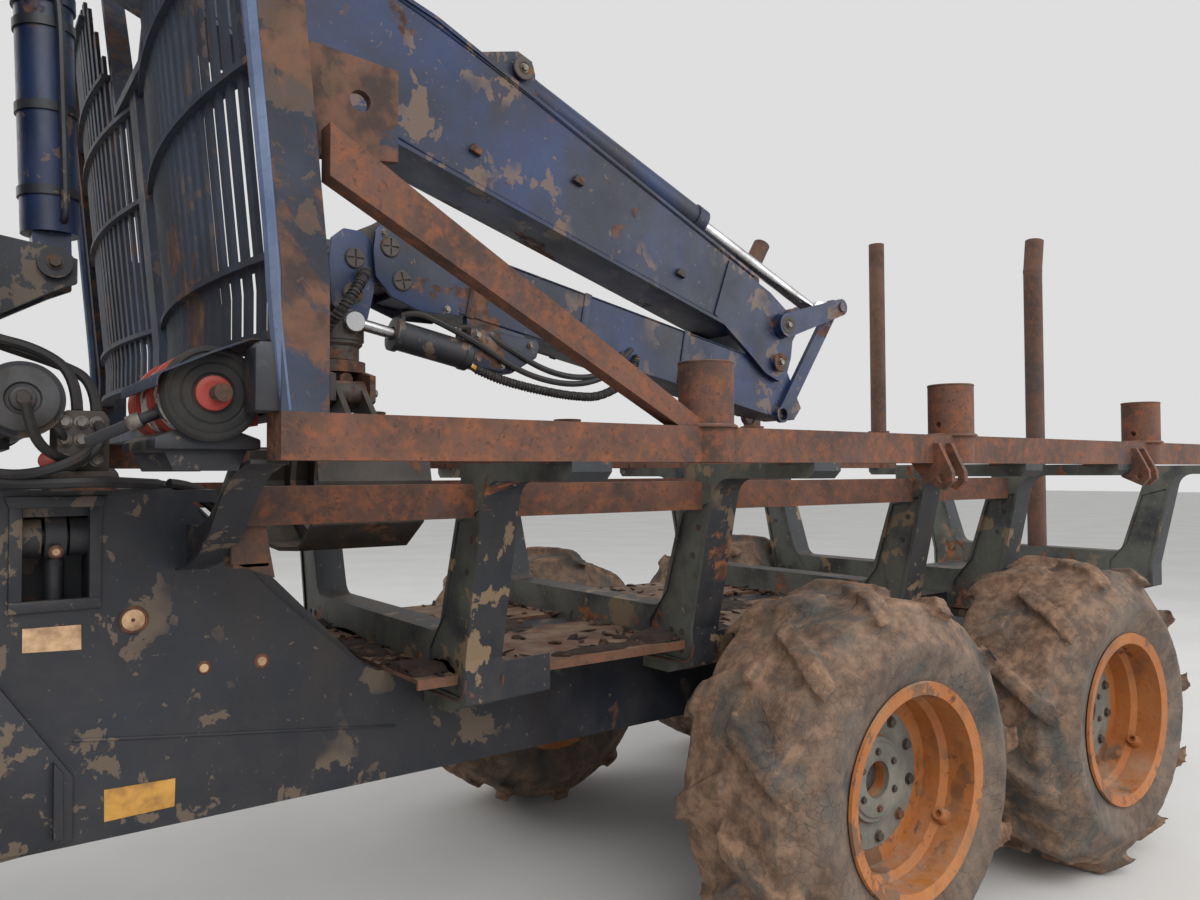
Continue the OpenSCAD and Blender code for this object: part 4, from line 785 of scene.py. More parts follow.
wheelDress = dict(discFace=1158, hubFace=1163, hubRadius=148, nutCircle=205, nuts=10, nutSize=17, guardAngle=-0.55)
for wheelName in wheelNames:
    low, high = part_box("rim_" + wheelName)
    middle = (low + high) / 2
    side = 1 if middle.y > 0 else -1
    x, z = middle.x * 1000 + placeShift, middle.z * 1000
    body = "wheel_" + wheelName
    grow = (high.z - low.z) / 0.734
    out = (0, side, 0)
    plate = addTurned([(0, 62), (3, 62), (3, 238 * grow), (0, 242 * grow), (0, 62)], (x, side * wheelDress["discFace"], z),
                      out, 48)
    hub = addTurned([(-1, 64), (16, 64), (20, 70), (20, 126), (14, 132), (14, 144), (4, 150), (-1, 150), (-1, 64)],
                    (x, side * wheelDress["hubFace"], z), out, 48)
    finishGroup("hubPlate_" + wheelName, [plate, hub], "hubGrey", body)
    cap = addTurned([(0, 0), (0, 54), (7, 54), (12, 46), (12, 18), (8, 14), (8, 0)], (x, side * 1122, z), out, 28)
    finishGroup("hubCap_" + wheelName, [cap], "wornSteel", body)
    circle = wheelDress["nutCircle"] * grow
    spots = [(place, out) for place in ringSpots((x, side * (wheelDress["discFace"] + 2), z), "y", circle,
                                                 wheelDress["nuts"], 0.2)]
    hubRing = [(place, out) for place in ringSpots((x, side * 1182, z), "y", 98, 6, 0.5)]
    addBolts("wheelNuts_" + wheelName, spots, wheelDress["nutSize"], body, "wornSteel")
    addBolts("hubBolts_" + wheelName, hubRing, 11, body, "wornSteel")
    # the guard of the valve stands out of the barrel towards the axle
    angle = wheelDress["guardAngle"] * side
    reach = 318 * grow
    spot = (x - side * reach * math.cos(angle), side * 1252, z + reach * math.sin(-abs(angle)))
    inward = (side * math.cos(angle), 0, math.sin(abs(angle)))
    guard = addTurned([(-6, 0), (-6, 30), (10, 26), (30, 22), (36, 20), (36, 13), (20, 12), (20, 0)], spot, inward, 20)
    finishGroup("valveGuard_" + wheelName, [guard], "rimOrange", body)
print("wheels dressed")

# ---- rear frame: bosses, plugs, bare plates, weld seams and the joint's cover plates ----

frameFace = 450
discBoss = dict(place=(2212, frameFace, 1348), ring=38, disc=29)
rustRing = addTurned([(-1, 0), (3, 0), (3, 26), (7, 30), (7, 34), (2, 38), (-1, 38), (-1, 0)], discBoss["place"], (0, 1, 0), 32)
paleDisc = addTurned([(2, 0), (2, 4), (4, 6), (6, 28), (4, 29), (0, 29), (0, 0)], discBoss["place"], (0, 1, 0), 32)
finishGroup("frameBossRings", withMirror([rustRing]), "railRust", "rear_frame")
finishGroup("frameBossDiscs", withMirror([paleDisc]), "creamPlate", "rear_frame")
plugs, plugRings = [], []
for x, z, radius in ((2032, 1196, 12), (1874, 1196, 13), (2392, 1540, 9)):
    plugs.append(addTurned([(0, 0), (4, 0), (5, radius - 3), (3, radius), (0, radius), (0, 0)], (x, frameFace, z), (0, 1, 0), 20))
    plugRings.append(addTurned([(-1, radius), (3, radius), (3, radius + 4), (0, radius + 8), (-1, radius)],
                               (x, frameFace, z), (0, 1, 0), 20))
finishGroup("framePlugs", withMirror(plugs), "creamPlate", "rear_frame")
finishGroup("framePlugRings", withMirror(plugRings), "railRust", "rear_frame")

barePlates = {
    "creamBarePlate": dict(points=[(2464, 1350), (2334, 1348), (2333, 1283), (2464, 1289)], finish="creamPlate"),
    "yellowBarePlate": dict(points=[(2278, 909), (2104, 905), (2106, 829), (2277, 825)], finish="yellowPlate"),
}
for name, plate in barePlates.items():
    piece = addPlate(plate["points"], "y", frameFace, frameFace + 2.5, 0.001)
    finishGroup(name, [piece], plate["finish"], "rear_frame")

jointCover = addPlate([(2512, 1212), (2350, 962), (2350, 798), (2420, 790), (3020, 790), (3060, 830), (3060, 1212)], "y",
                      frameFace - 2, frameFace + 16, 0.004)
coverRib = addPlate([(2395, 1010), (2372, 975), (2372, 810), (2395, 810)], "y", frameFace + 14, frameFace + 30, 0.004)
finishGroup("jointCovers", withMirror([jointCover, coverRib]), "navyPaint", "rear_frame")

windowFrame = dict(inner=(2318, 2466, 1418, 1654), wide=30, thick=12)
x0, x1, z0, z1 = windowFrame["inner"]
wide = windowFrame["wide"]
bars = [addPlate(points, "y", frameFace - 3, frameFace + windowFrame["thick"], 0.004) for points in (
    [(x0 - wide, z0 - wide), (x1 + wide, z0 - wide), (x1 + wide, z0), (x0 - wide, z0)],
    [(x0 - wide, z1), (x1 + wide, z1), (x1 + wide + 12, z1 + wide), (x0 - wide - 12, z1 + wide)],
    [(x0 - wide, z0 - 2), (x0, z0 - 2), (x0, z1 + 2), (x0 - wide, z1 + 2)],
    [(x1, z0 - 2), (x1 + wide, z0 - 2), (x1 + wide, z1 + 2), (x1, z1 + 2)])]
finishGroup("pocketFrames", withMirror(bars), "navyPaint", "rear_frame")

seamLines = [
    [(2350, 450, 1050), (2100, 450, 1018), (1800, 450, 982), (1462, 450, 940)],
    [(1500, 450, 1118), (1200, 450, 1118), (800, 450, 1118), (300, 450, 1118), (-700, 450, 1118)],
    [(2045, 450, 1640), (1950, 450, 1520), (1800, 450, 1350), (1560, 450, 1140)],
    [(-760, 450, 1116), (-1500, 450, 1116), (-2400, 450, 1116), (-3380, 450, 1116)],
]
seams = [addHose([(x, y + 1, z) for x, y, z in line], 4.5, 1) for line in seamLines]
finishGroup("frameSeams", withMirror(seams), "navyPaint", "rear_frame")
print("rear frame dressed")

# ---- crane foot: end caps of the slew cylinders, bolt rings, valve block and hoses ----

capProfile = [(-2, 0), (-2, 76), (8, 79), (12, 76), (14, 68), (14, 40), (4, 36), (4, 29), (16, 27), (19, 23), (19, 0)]
caps = [addTurned(capProfile, (x, 620, 1920), (0, 1, 0), 40) for x in (2480, 3020)]
finishGroup("slewCaps", withMirror(caps), "ironGrey", "rear_frame")
hexPlugs = [((x, y * 1.0, 1920), (0, y / abs(y), 0)) for x in (2480, 3020) for y in (638, -638)]
addBolts("slewCapPlugs", hexPlugs, 17, "rear_frame", "wornSteel")
addBolts("pillarBolts", [(place, (0, 0, 1)) for place in ringSpots((2750, 0, 2150), "z", 205, 14)], 15, "pillar", "wornSteel")
addBolts("baseBolts", [(place, (0, 0, 1)) for place in ringSpots((2750, 0, 1700), "z", 300, 16)], 15, "rear_frame", "wornSteel")

valveBlock = addPlate([(2405, 1745), (2405, 1880), (2385, 1900), (2300, 1900), (2288, 1880), (2288, 1745)], "y", 395, 570, 0.006)
valveFoot = addPlate([(2420, 1698), (2420, 1748), (2275, 1748), (2275, 1698)], "y", 380, 590, 0.004)
finishGroup("valveBlock", [valveBlock, valveFoot], "wornSteel", "rear_frame")
addBolts("valveFittings", [((x, 572, z), (0, 1, 0)) for x in (2318, 2352, 2388) for z in (1775, 1825, 1870)], 13, "rear_frame")
footHoses = [
    ([(2480, 705, 1905), (2470, 690, 1850), (2440, 640, 1800), (2392, 600, 1775), (2380, 572, 1775)], 12),
    ([(2600, 470, 1760), (2520, 560, 1735), (2430, 640, 1745), (2340, 640, 1790), (2322, 572, 1825)], 13),
    ([(2560, 520, 1720), (2460, 610, 1716), (2330, 660, 1722), (2230, 560, 1716), (2150, 430, 1712)], 14),
    ([(2620, 440, 1790), (2530, 500, 1830), (2440, 560, 1880), (2400, 600, 1850), (2388, 572, 1825)], 11),
    ([(2600, 400, 1720), (2480, 480, 1714), (2360, 600, 1760), (2300, 640, 1830), (2318, 572, 1870)], 12),
    ([(2300, 420, 1905), (2300, 390, 1990), (2380, 330, 2040), (2500, 300, 2080), (2610, 300, 2120)], 14),
    ([(2350, 470, 1905), (2350, 450, 2000), (2430, 380, 2070), (2540, 330, 2100), (2640, 300, 2140)], 14),
    ([(2120, 420, 1712), (2020, 380, 1706), (1900, 350, 1560), (1820, 330, 1400), (1760, 320, 1265)], 15),
    ([(2200, 340, 1712), (2060, 320, 1712), (1930, 300, 1600), (1850, 280, 1420), (1790, 270, 1265)], 15),
]
hoses = [addHose(points, radius) for points, radius in footHoses]
finishGroup("footHoses", hoses, "hoseRubber", "rear_frame")
redKnob = addTurned([(0, 0), (0, 10), (14, 12), (18, 22), (30, 22), (34, 14), (34, 0)], (2420, 520, 1770), (0, 1, 0.2), 20)
finishGroup("redValveKnob", [redKnob], "extinguisherRed", "rear_frame")
strap = addSheet([(2300, 1702), (2270, 1716), (2230, 1714), (2196, 1702)], "y", 452, 480, 3)
finishGroup("yellowStrap", [strap], "yellowPlate", "rear_frame")
print("crane foot dressed")

# ---- fire extinguisher: rubber end, tattered bare band, clamp lever, bracket and bent cover ----

bottle = dict(x=2185, z=1905, end=1185, radius=88)
bottleEnd = (bottle["x"], bottle["end"], bottle["z"])
rubberEnd = addTurned([(-26, 96), (-20, 99), (2, 99), (9, 94), (11, 88), (8, 84), (11, 78), (11, 68), (8, 64), (11, 60),
                       (11, 44), (6, 40), (6, 0), (-2, 0), (-2, 96)], bottleEnd, (0, 1, 0), 56)
finishGroup("bottleRubberEnd", [rubberEnd], "blackRubber", "rear_frame")
redCentre = addTurned([(5, 0), (5, 37), (12, 36), (15, 30), (14, 22), (16, 0)], bottleEnd, (0, 1, 0), 36)
finishGroup("bottleCentre", [redCentre], "extinguisherRed", "rear_frame")
stub = addTurned([(12, 0), (12, 15), (34, 16), (36, 19), (46, 19), (46, 0)], bottleEnd, (-0.25, 1, 0), 20)
finishGroup("bottleStub", [stub], "stakeRust", "rear_frame")

labelBand = dict(rows=14, sides=72, low=902, high=1018, seed=4)
bandMesh = bpy.data.meshes.new("band")
bandRadius = bottle["radius"] + 1.2
bandPoints, bandFaces = [], []
for row in range(labelBand["rows"] + 1):
    y = labelBand["low"] + (labelBand["high"] - labelBand["low"]) * row / labelBand["rows"]
    for step in range(labelBand["sides"]):
        angle = math.tau * step / labelBand["sides"]
        bandPoints.append(at(bottle["x"] + bandRadius * math.cos(angle), y, bottle["z"] + bandRadius * math.sin(angle)))
for row in range(labelBand["rows"]):
    for step in range(labelBand["sides"]):
        after = (step + 1) % labelBand["sides"]
        start = row * labelBand["sides"]
        here = (start + step, start + after, start + labelBand["sides"] + after, start + labelBand["sides"] + step)
        centre = sum((Vector(bandPoints[i]) for i in here), Vector()) / 4
        if noise.noise(centre * 26 + Vector((labelBand["seed"], 0, 0))) > -0.12:   # torn pieces are left out
            bandFaces.append(here)
bandMesh.from_pydata(bandPoints, [], bandFaces)
band = newPiece("band", bandMesh)
wall = band.modifiers.new("wall", "SOLIDIFY")
wall.thickness = 0.0012
wall.offset = 0
applyModifiers(band)
secondBand = band.copy()
secondBand.data = band.data.copy()
bpy.context.collection.objects.link(secondBand)
secondBand.location = (0, 0.16, 0)
bakePlace(secondBand)
finishGroup("bottleBands", [band, secondBand], "paperWhite", "rear_frame")

lever = addRod(0.0125, at(2392, 1010, 1806), at(2262, 1075, 1872), 18, 0.002)
sleeve = addRod(0.0175, at(2320, 1046, 1843), at(2296, 1058, 1855), 20, 0.002)
eyeProfile = [(-9, 10), (-9, 26), (-5, 29), (5, 29), (9, 26), (9, 10), (-9, 10)]
leverEye = addTurned(eyeProfile, (2246, 1084, 1880), (0, 1, 0), 24)
finishGroup("bottleLever", [lever, leverEye], "navyPaint", "rear_frame")
finishGroup("bottleLeverSleeve", [sleeve], "boltZinc", "rear_frame")

upright = addPlate([(2129, 1866), (2129, 1996), (2118, 2008), (2074, 2008), (2066, 1996), (2066, 1866)], "y", 1206, 1290, 0.004)
saddle = addPlate([(2290, 1790), (2290, 1812), (2250, 1830), (2130, 1830), (2080, 1812), (2080, 1790)], "y", 760, 1160, 0.004)
saddleLegs = [addPlate([(2100, 1792), (2270, 1792), (2250, 1745), (2120, 1745)], "y", y, y + 14, 0.002) for y in (780, 1120)]
finishGroup("bottleBracket", [upright, saddle] + saddleLegs, "navyPaint", "rear_frame")
coverLine = [(2296, 1934), (2290, 1940), (2200, 1984), (2132, 2014), (2118, 2018), (2060, 2018)]
cover = addSheet(coverLine, "y", 830, 1236, 4)
hook = addSheet([(2296, 1934), (2300, 1926), (2300, 1912)], "y", 830, 1236, 4)
finishGroup("bottleCover", [cover, hook], "gateSteel", "rear_frame")
print("fire extinguisher dressed")

# ---- boom: pipes, clips, pin caps and seams ----

boomRoot = dict(x=2800, z=3750, slope=math.radians(20.4))
jibRoot = dict(x=-700, z=2130, slope=math.radians(11))


def onBoom(u, y, v):
    # along the boom from its root, across, and up from its middle line
    c, s = math.cos(boomRoot["slope"]), math.sin(boomRoot["slope"])
    return (boomRoot["x"] - u * c - v * s, y, boomRoot["z"] - u * s + v * c)


def onJib(u, y, v):
    c, s = math.cos(jibRoot["slope"]), math.sin(jibRoot["slope"])
    return (jibRoot["x"] + u * c - v * s, y, jibRoot["z"] + u * s + v * c)


def outlineOn(place, points):
    return [(place(u, 0, v)[0], place(u, 0, v)[2]) for u, v in points]


pipes = []
for y in (-72, -40, 58):
    pipes.append(addHose([onBoom(80, y, 214), onBoom(160, y, 226), onBoom(900, y, 262), onBoom(1620, y, 300),
                          onBoom(1700, y, 299), onBoom(1860, y, 287), onBoom(1905, y, 278), onBoom(1925, y, 256)], 11))
finishGroup("boomPipes", pipes, "navyPaint", "boom")
clips = []
for u, top in ((300, 231), (720, 253), (1180, 277), (1580, 298)):
    for low, high in ((-90, -22), (40, 76)):
        clips.append(addPlate(outlineOn(onBoom, [(u - 16, top - 20), (u + 16, top - 20), (u + 16, top + 14), (u - 16, top + 14)]),
                              "y", low, high, 0.003))
finishGroup("boomClips", clips, "wornSteel", "boom")
sideClips = [addPlate(outlineOn(onBoom, [(u - 26, v - 16), (u + 26, v - 16), (u + 18, v + 16), (u - 18, v + 16)]),
                      "y", 121, 142, 0.003) for u, v in ((1962, -100), (3050, -60), (2420, 40))]
finishGroup("boomSideClips", withMirror(sideClips), "wornSteel", "boom")
boomSeams = [addHose([onBoom(u, 124, v) for u, v in line], 4, 1) for line in (
    [(70, -182), (900, -206), (1650, -236), (2500, -190), (3300, -146)],
    [(70, 180), (900, 222), (1650, 262), (2500, 208), (3300, 155)],
    [(3305, -135), (3303, 0), (3305, 138)])]
finishGroup("boomSeams", withMirror(boomSeams), "craneBlue", "boom")

pinCap = [(-2, 0), (-2, 44), (6, 47), (10, 44), (10, 26), (7, 22), (7, 0)]
pinSpots = {
    "boom": [onBoom(540, 100, -310), onBoom(2040, 112, 330), onBoom(3724, 170, 0)],
    "jib": [onBoom(3759, 146, -181)],
}
for body, spots in pinSpots.items():
    pinCaps = [addTurned(pinCap, spot, (0, 1, 0), 28) for spot in spots]
    finishGroup("pinCaps_" + body, withMirror(pinCaps), "wornSteel", body)
    addBolts("pinBolts_" + body, [((x, y * 1.0 + (7 if y > 0 else -7), z), (0, 1 if y > 0 else -1, 0))
                                  for x, y, z in bothSides(spots)], 15, body)

crossProfile = [(-4, 0), (-4, 37), (5, 37), (9, 33), (9, 0)]
crossPin = addTurned(crossProfile, (placeShift, 0, 0), (0, 0, 1), 32)
for low, high in (((-0.03, -0.0035, 0.003), (0.03, 0.0035, 0.02)), ((-0.0035, -0.03, 0.003), (0.0035, 0.03, 0.02))):
    crossPin = cutAway(crossPin, addBlock(low, high))

neck = addPlate([(1392, 2604), (1372, 2626), (1300, 2636), (1232, 2604), (1080, 2560), (1060, 2330), (1215, 2330),
                 (1330, 2372), (1392, 2440), (1400, 2530)], "y", 101, 118, 0.004)
nose = addPlate([(1400, 2570), (1430, 2598), (1500, 2600), (1546, 2560), (1554, 2480), (1544, 2330), (1490, 2268),
                 (1412, 2284), (1388, 2390), (1384, 2500)], "y", 82, 97, 0.004)
finishGroup("jibNeckPlates", withMirror([neck]), "craneBlue", "jib")
finishGroup("tipNosePlates", withMirror([nose]), "craneBlue", "extension")
neckPins = bothSides([(1338, 118, 2551), (1292, 118, 2434)])
nosePins = bothSides([(1461, 97, 2498), (1468, 97, 2373)])
for name, places, body in (("neckCrossPins", neckPins, "jib"), ("noseCrossPins", nosePins, "extension")):
    piece = copiesOf(crossPin, name, [(place, (0, place[1] / abs(place[1]), 0), 1.0, 0.2 * i) for i, place in enumerate(places)])
    smoothByAngle(piece)
    finishPiece(piece, materials["wornSteel"], body)
bpy.data.objects.remove(crossPin)
addBolts("neckBolts", [(place, (0, place[1] / abs(place[1]), 0)) for place in
                       bothSides([(1360, 118, 2600), (1250, 118, 2590), (1180, 118, 2560), (1110, 118, 2350), (1110, 118, 2540)])],
         11, "jib")
ears = [addTurned([(-10, 14), (-10, 34), (-6, 37), (6, 37), (10, 34), (10, 14), (-10, 14)], (1470, 90, z), (0, 1, 0), 24)
        for z in (2282,)]
finishGroup("tipEars", withMirror(ears), "craneBlue", "extension")

# the extension's cylinder under the jib, with its clamp block and hoses
reachLine = dict(start=(1020, 110, 2182), mid=(1330, 110, 2242))
barrel = addTurned([(0, 0), (0, 52), (6, 58), (30, 58), (34, 54), (286, 54), (290, 62), (312, 62), (314, 26), (306, 26),
                    (306, 0)], reachLine["start"], at(*reachLine["mid"]) - at(*reachLine["start"]), 36)
ports = [addRod(0.013, at(1060, 110, 2238), at(1058, 112, 2284), 14), addRod(0.013, at(1290, 110, 2275), at(1288, 112, 2308), 14)]
finishGroup("reachBarrel", [barrel] + ports, "navyPaint", "jib")
reachRod = addRod(0.021, at(862, 110, 2151), at(1462, 110, 2268), 24, 0.002)   # its tail stays in the clamp block
rodEye = addTurned([(-22, 0), (-22, 34), (-16, 38), (16, 38), (22, 34), (22, 0)], (1470, 110, 2269), (0, 1, 0), 28)
finishGroup("reachRod", [reachRod, rodEye], "polishedRod", "extension")
clampBlock = addPlate([(1034, 2284), (1034, 2142), (905, 2124), (856, 2122), (742, 2190), (728, 2236), (740, 2262)], "y", 62, 158, 0.007)
clampWeb = addPlate([(1020, 2340), (1020, 2270), (760, 2250), (760, 2290)], "y", 62, 100, 0.004)
finishGroup("reachClamp", [clampBlock, clampWeb], "craneBlue", "jib")
addBolts("clampBolts", [((x, 158, z), (0, 1, 0)) for x, z in ((1005, 2258), (1005, 2168), (770, 2236), (900, 2150))], 12, "jib")
secondWrap = addWrappedHose([(1010, 150, 2130), (900, 165, 2092), (760, 180, 2064), (600, 190, 2046), (466, 190, 2052),
                             (330, 170, 2110), (240, 132, 2190), (200, 106, 2236)], 15, 4.5, 13)
thirdHose = addHose([(1288, 112, 2308), (1250, 134, 2326), (1150, 150, 2290), (1000, 168, 2220), (820, 178, 2120),
                     (600, 174, 2086), (420, 156, 2124), (310, 128, 2196), (276, 104, 2250)], 12)
fourthHose = addHose([(1058, 112, 2284), (1010, 134, 2296), (900, 160, 2230), (700, 160, 2136), (500, 150, 2120),
                      (340, 134, 2176), (226, 104, 2270)], 12)
finishGroup("jibWrappedHoses", secondWrap, "hoseRubber", "jib")
finishGroup("jibHoses", [thirdHose, fourthHose], "hoseRubber", "jib")
headHoses = [joinPieces(addWrappedHose([(1440, 96, 2440), (1444, 150, 2436), (1490, 206, 2380), (1544, 206, 2296),
                                        (1572, 150, 2244), (1556, 70, 2236)], 17, 5, 15), "headHose_0"),
             addHose([(1420, -90, 2450), (1424, -146, 2446), (1466, -196, 2380), (1520, -196, 2290), (1560, -140, 2240),
                      (1550, -64, 2236)], 14)]
for i, line in enumerate(headHoses):
    smoothByAngle(line)
    line.name = "headHose_%d" % i
    line.data.name = line.name
    line.data.materials.clear()
    line.data.materials.append(materials["hoseRubber"])
    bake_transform(line)
hoseEnds = [addRod(0.015, at(*a), at(*b), 6, 0.001) for a, b in (((210, 120, 2220), (196, 96, 2242)),
                                                                ((1010, 150, 2130), (1030, 148, 2142)),
                                                                ((760, 180, 2064), (720, 182, 2060)))]
finishGroup("jibHoseEnds", hoseEnds, "brassFitting", "jib")

jibSeams = [addHose([onJib(u, 102, v) for u in (300, 1100, 1930)], 3.5, 1) for v in (-122, 122)]
finishGroup("jibSeams", withMirror(jibSeams), "craneBlue", "jib")
wearStraps = [addPlate(outlineOn(onJib, [(u, -130), (u + 34, -130), (u + 34, 130), (u, 130)]), "y", 99, 106, 0.003)
              for u in (620, 1180, 1700)]
finishGroup("jibStraps", withMirror(wearStraps), "craneBlue", "jib")

# rotator and grapple: motor, and the cylinder between the jaws; the motor's hoses are made with the jib's hoses above
motor = addTurned([(0, 0), (0, 92), (8, 100), (40, 100), (48, 92), (70, 92), (78, 84), (78, 0)], (1501, 0, 2190), (0, 0, 1), 40)
finishGroup("rotatorMotor", [motor], "wornSteel", "hanger")
addBolts("rotatorBolts", [(place, (0, 0, 1)) for place in ringSpots((1501, 0, 2268), "z", 66, 8)], 10, "hanger")
jawCylinder = addTurned([(-130, 0), (-130, 40), (-120, 46), (60, 46), (66, 40), (66, 22), (128, 22), (128, 0)], (1501, 0, 2066),
                        (0, 1, 0), 30)
finishGroup("jawCylinder", [jawCylinder], "wornSteel", "grapple_head")
addBolts("grapplePinBolts", [((x, y, 2020), (1 if x > 1500 else -1, 0, 0)) for x in (1597, 1405) for y in (-130, 130)], 14,
         "grapple_head")

# lift cylinder: a pipe along the barrel, with bands round it
liftAxis = (Vector(onBoom(540, 0, -310)) - Vector((2370, 0, 2360))).normalized()
liftSide = Vector((liftAxis.z, 0, -liftAxis.x))


def onLift(along, y, out):
    spot = Vector((2370, 0, 2360)) + liftAxis * along - liftSide * out
    return (spot.x, y, spot.z)


liftPipe = addHose([onLift(130, 62, 24), onLift(135, 88, 32), onLift(200, 92, 34), onLift(500, 92, 34),
                    onLift(780, 92, 34), onLift(800, 72, 28)], 12)
liftBands = [addTurned([(-14, 78), (-14, 84), (14, 84), (14, 78), (-14, 78)], onLift(along, 0, 0), liftAxis, 36)
             for along in (220, 470, 720)]
finishGroup("liftPipe", [liftPipe] + liftBands, "navyPaint", "lift_barrel")
addBolts("liftEyeBolts", [((2370, y, 2360), (0, y / abs(y), 0)) for y in (110, -110)], 18, "pillar", "wornSteel")

# guard coils round the thick bundle, and the hoses that cross to the boom
bundleLine = [(2690, 300, 2150), (2640, 330, 2230), (2620, 320, 2380), (2640, 290, 2560), (2680, 262, 2760), (2700, 250, 3000),
              (2710, 245, 3250), (2720, 245, 3415)]
for i, (dx, dy) in enumerate(((-26, 20), (24, 26), (-2, 46))):
    wrapped = addWrappedHose([(x + dx, y + dy, z) for x, y, z in bundleLine], 27, 7, 24)
    finishGroup("bundleHose_%d" % i, wrapped, "hoseRubber", "pillar")
for i, y in enumerate((205, 240)):
    link = addHose([(2716, y, 3380), (2722, y, 3480), (2760, y, 3640), (2800, y - 5, 3790), (2770, y - 20, 3930),
                    (2660, y - 90, 3975), onBoom(260, 60 + 20 * i, 262)], 17)
    smoothByAngle(link)
    link.name = "boomLinkHose_%d" % i
    link.data.name = link.name
    link.data.materials.clear()
    link.data.materials.append(materials["hoseRubber"])
    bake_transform(link)
print("crane dressed")

# ---- rails, gate and bunks: weld rings, near tube, curved front brackets, bolt holes ----

socketXs = (860, -360, -1900, -3300)
weldRing = [(-1, 78), (-1, 92), (4, 90), (9, 82), (9, 78), (-1, 78)]
rings = [addTurned(weldRing, (x, 1250, 1866), (0, 0, 1), 36) for x in socketXs]
lips = [addTurned([(-3, 65), (-3, 81), (1, 82), (4, 78), (4, 68), (1, 65), (-3, 65)], (x, 1250, 2050), (0, 0, 1), 36)
        for x in socketXs]
finishGroup("socketWelds", withMirror(rings), "railRust", "rear_frame")
finishGroup("socketLips", withMirror(lips), "stakeRust", "rear_frame")
gateTube = addHose([(2176, 1282, 3100), (2100, 1282, 2300), (2092, 1282, 2200), (2086, 1282, 2080), (2062, 1282, 1868)], 19)
finishGroup("gateTubes", withMirror([gateTube]), "gateBlue", "rear_frame")

armLine = [(1196, 1764), (1150, 1760), (1060, 1742), (960, 1690), (860, 1610), (740, 1540), (600, 1500), (470, 1480)]
armBack = [(470, 1600), (600, 1600), (720, 1632), (820, 1690), (900, 1750), (960, 1766)]
frontArm = addPlate(armLine + armBack, "x", 2060, 2084, 0.004)
armEdge = addSheet(armLine, "x", 2030, 2112, 9)
finishGroup("railFrontArms", withMirror([frontArm, armEdge]), "navyPaint", "rear_frame")
supports = [addPlate([(1935, 1470), (2044, 1512), (2044, 1606), (1960, 1606)], "y", low, low + 14, 0.003) for low in (700, 766)]
supportFloor = addPlate([(700, 1500), (780, 1500), (780, 1512), (700, 1512)], "x", 1950, 2040, 0.002)
finishGroup("innerRailSupports", withMirror(supports + [supportFloor]), "stakeRust", "rear_frame")

holeModel = addTurned([(-1, 0), (-1, 11), (2, 12), (3, 9), (1, 7), (1, 0)], (placeShift, 0, 0), (0, 0, 1), 16)
holes = []
for face in (1363, 453, -785, -1553):
    for y, z in ((610, 1090), (610, 1160), (668, 1090), (668, 1160), (760, 1540), (728, 1440)):
        for side in (1, -1):
            holes.append(((face - 8, side * y, z), (1, 0, 0), 1.0, 0))
finishPiece(copiesOf(holeModel, "armHoles", holes), materials["wornSteel"], "rear_frame")
bpy.data.objects.remove(holeModel)
footSeams = []
for x in (1300, 390, -848, -1616):
    for dx in (-64, 64):
        footSeams.append(addHose([(x + dx, 480, 1046), (x + dx, 600, 1048), (x + dx, 735, 1052), (x + dx, 738, 1120)], 5, 1))
        footSeams.append(addHose([(x + dx, 1150, 1764), (x + dx, 1185, 1764), (x + dx, 1199, 1768), (x + dx, 1200, 1790)], 6, 1))
finishGroup("armSeams", withMirror(footSeams), "stakeRust", "rear_frame")
print("rails and bunks dressed")

# ---- bark and soil on the deck ----

random.seed(7)
deckTop = 1132
deckAreas = [(1372, 1498), (470, 1225), (-770, 315)]
debris = dict(chips=420, mounds=16)
chipModels = []
for i, shape in enumerate(((1.0, 0.4, 0.14), (0.8, 0.6, 0.2), (1.3, 0.25, 0.12), (0.6, 0.5, 0.3))):
    clearSelection()
    bpy.ops.mesh.primitive_ico_sphere_add(subdivisions=1, radius=0.04)
    chip = bpy.context.object
    chip.scale = shape
    bakePlace(chip)
    for vertex in chip.data.vertices:
        vertex.co += noise.noise_vector(vertex.co * 40 + Vector((i * 3, 0, 0))) * 0.007
    chipModels.append(chip)
chipSpots = [[] for model in chipModels]
for count in range(debris["chips"]):
    low, high = deckAreas[random.choice((0, 1, 1, 2, 2, 2))]
    edge = random.random() < 0.5
    x = random.choice((low, high)) + random.gauss(0, 60) if edge else random.uniform(low, high)
    x = min(max(x, low + 20), high - 20)
    y = random.uniform(-670, 670) if random.random() < 0.45 else random.choice((-1, 1)) * random.uniform(380, 680)
    tilt = (random.gauss(0, 0.25), random.gauss(0, 0.25), 1)
    chipSpots[count % 4].append(((x, y, deckTop + 3), tilt, random.uniform(0.35, 1.1), random.uniform(0, math.tau)))
for i, model in enumerate(chipModels):
    finishPiece(copiesOf(model, "barkChips_%d" % i, chipSpots[i]), materials["barkBrown" if i % 2 else "barkDark"], "rear_frame")
    bpy.data.objects.remove(model)
moundSpots = [(1440, 560, 150, 110, 26), (1430, -480, 130, 120, 22), (1190, 600, 110, 90, 30), (520, 610, 120, 90, 34),
              (560, -560, 140, 110, 26), (1150, -200, 160, 140, 16), (250, 590, 100, 100, 30), (300, -300, 120, 160, 18),
              (-650, 560, 150, 110, 30), (-700, -500, 130, 150, 26), (-300, 610, 160, 70, 20), (800, 640, 200, 50, 16),
              (900, 0, 200, 200, 12), (-200, 100, 240, 200, 12), (1440, 120, 90, 200, 14), (40, -620, 180, 70, 18)]
mounds = []
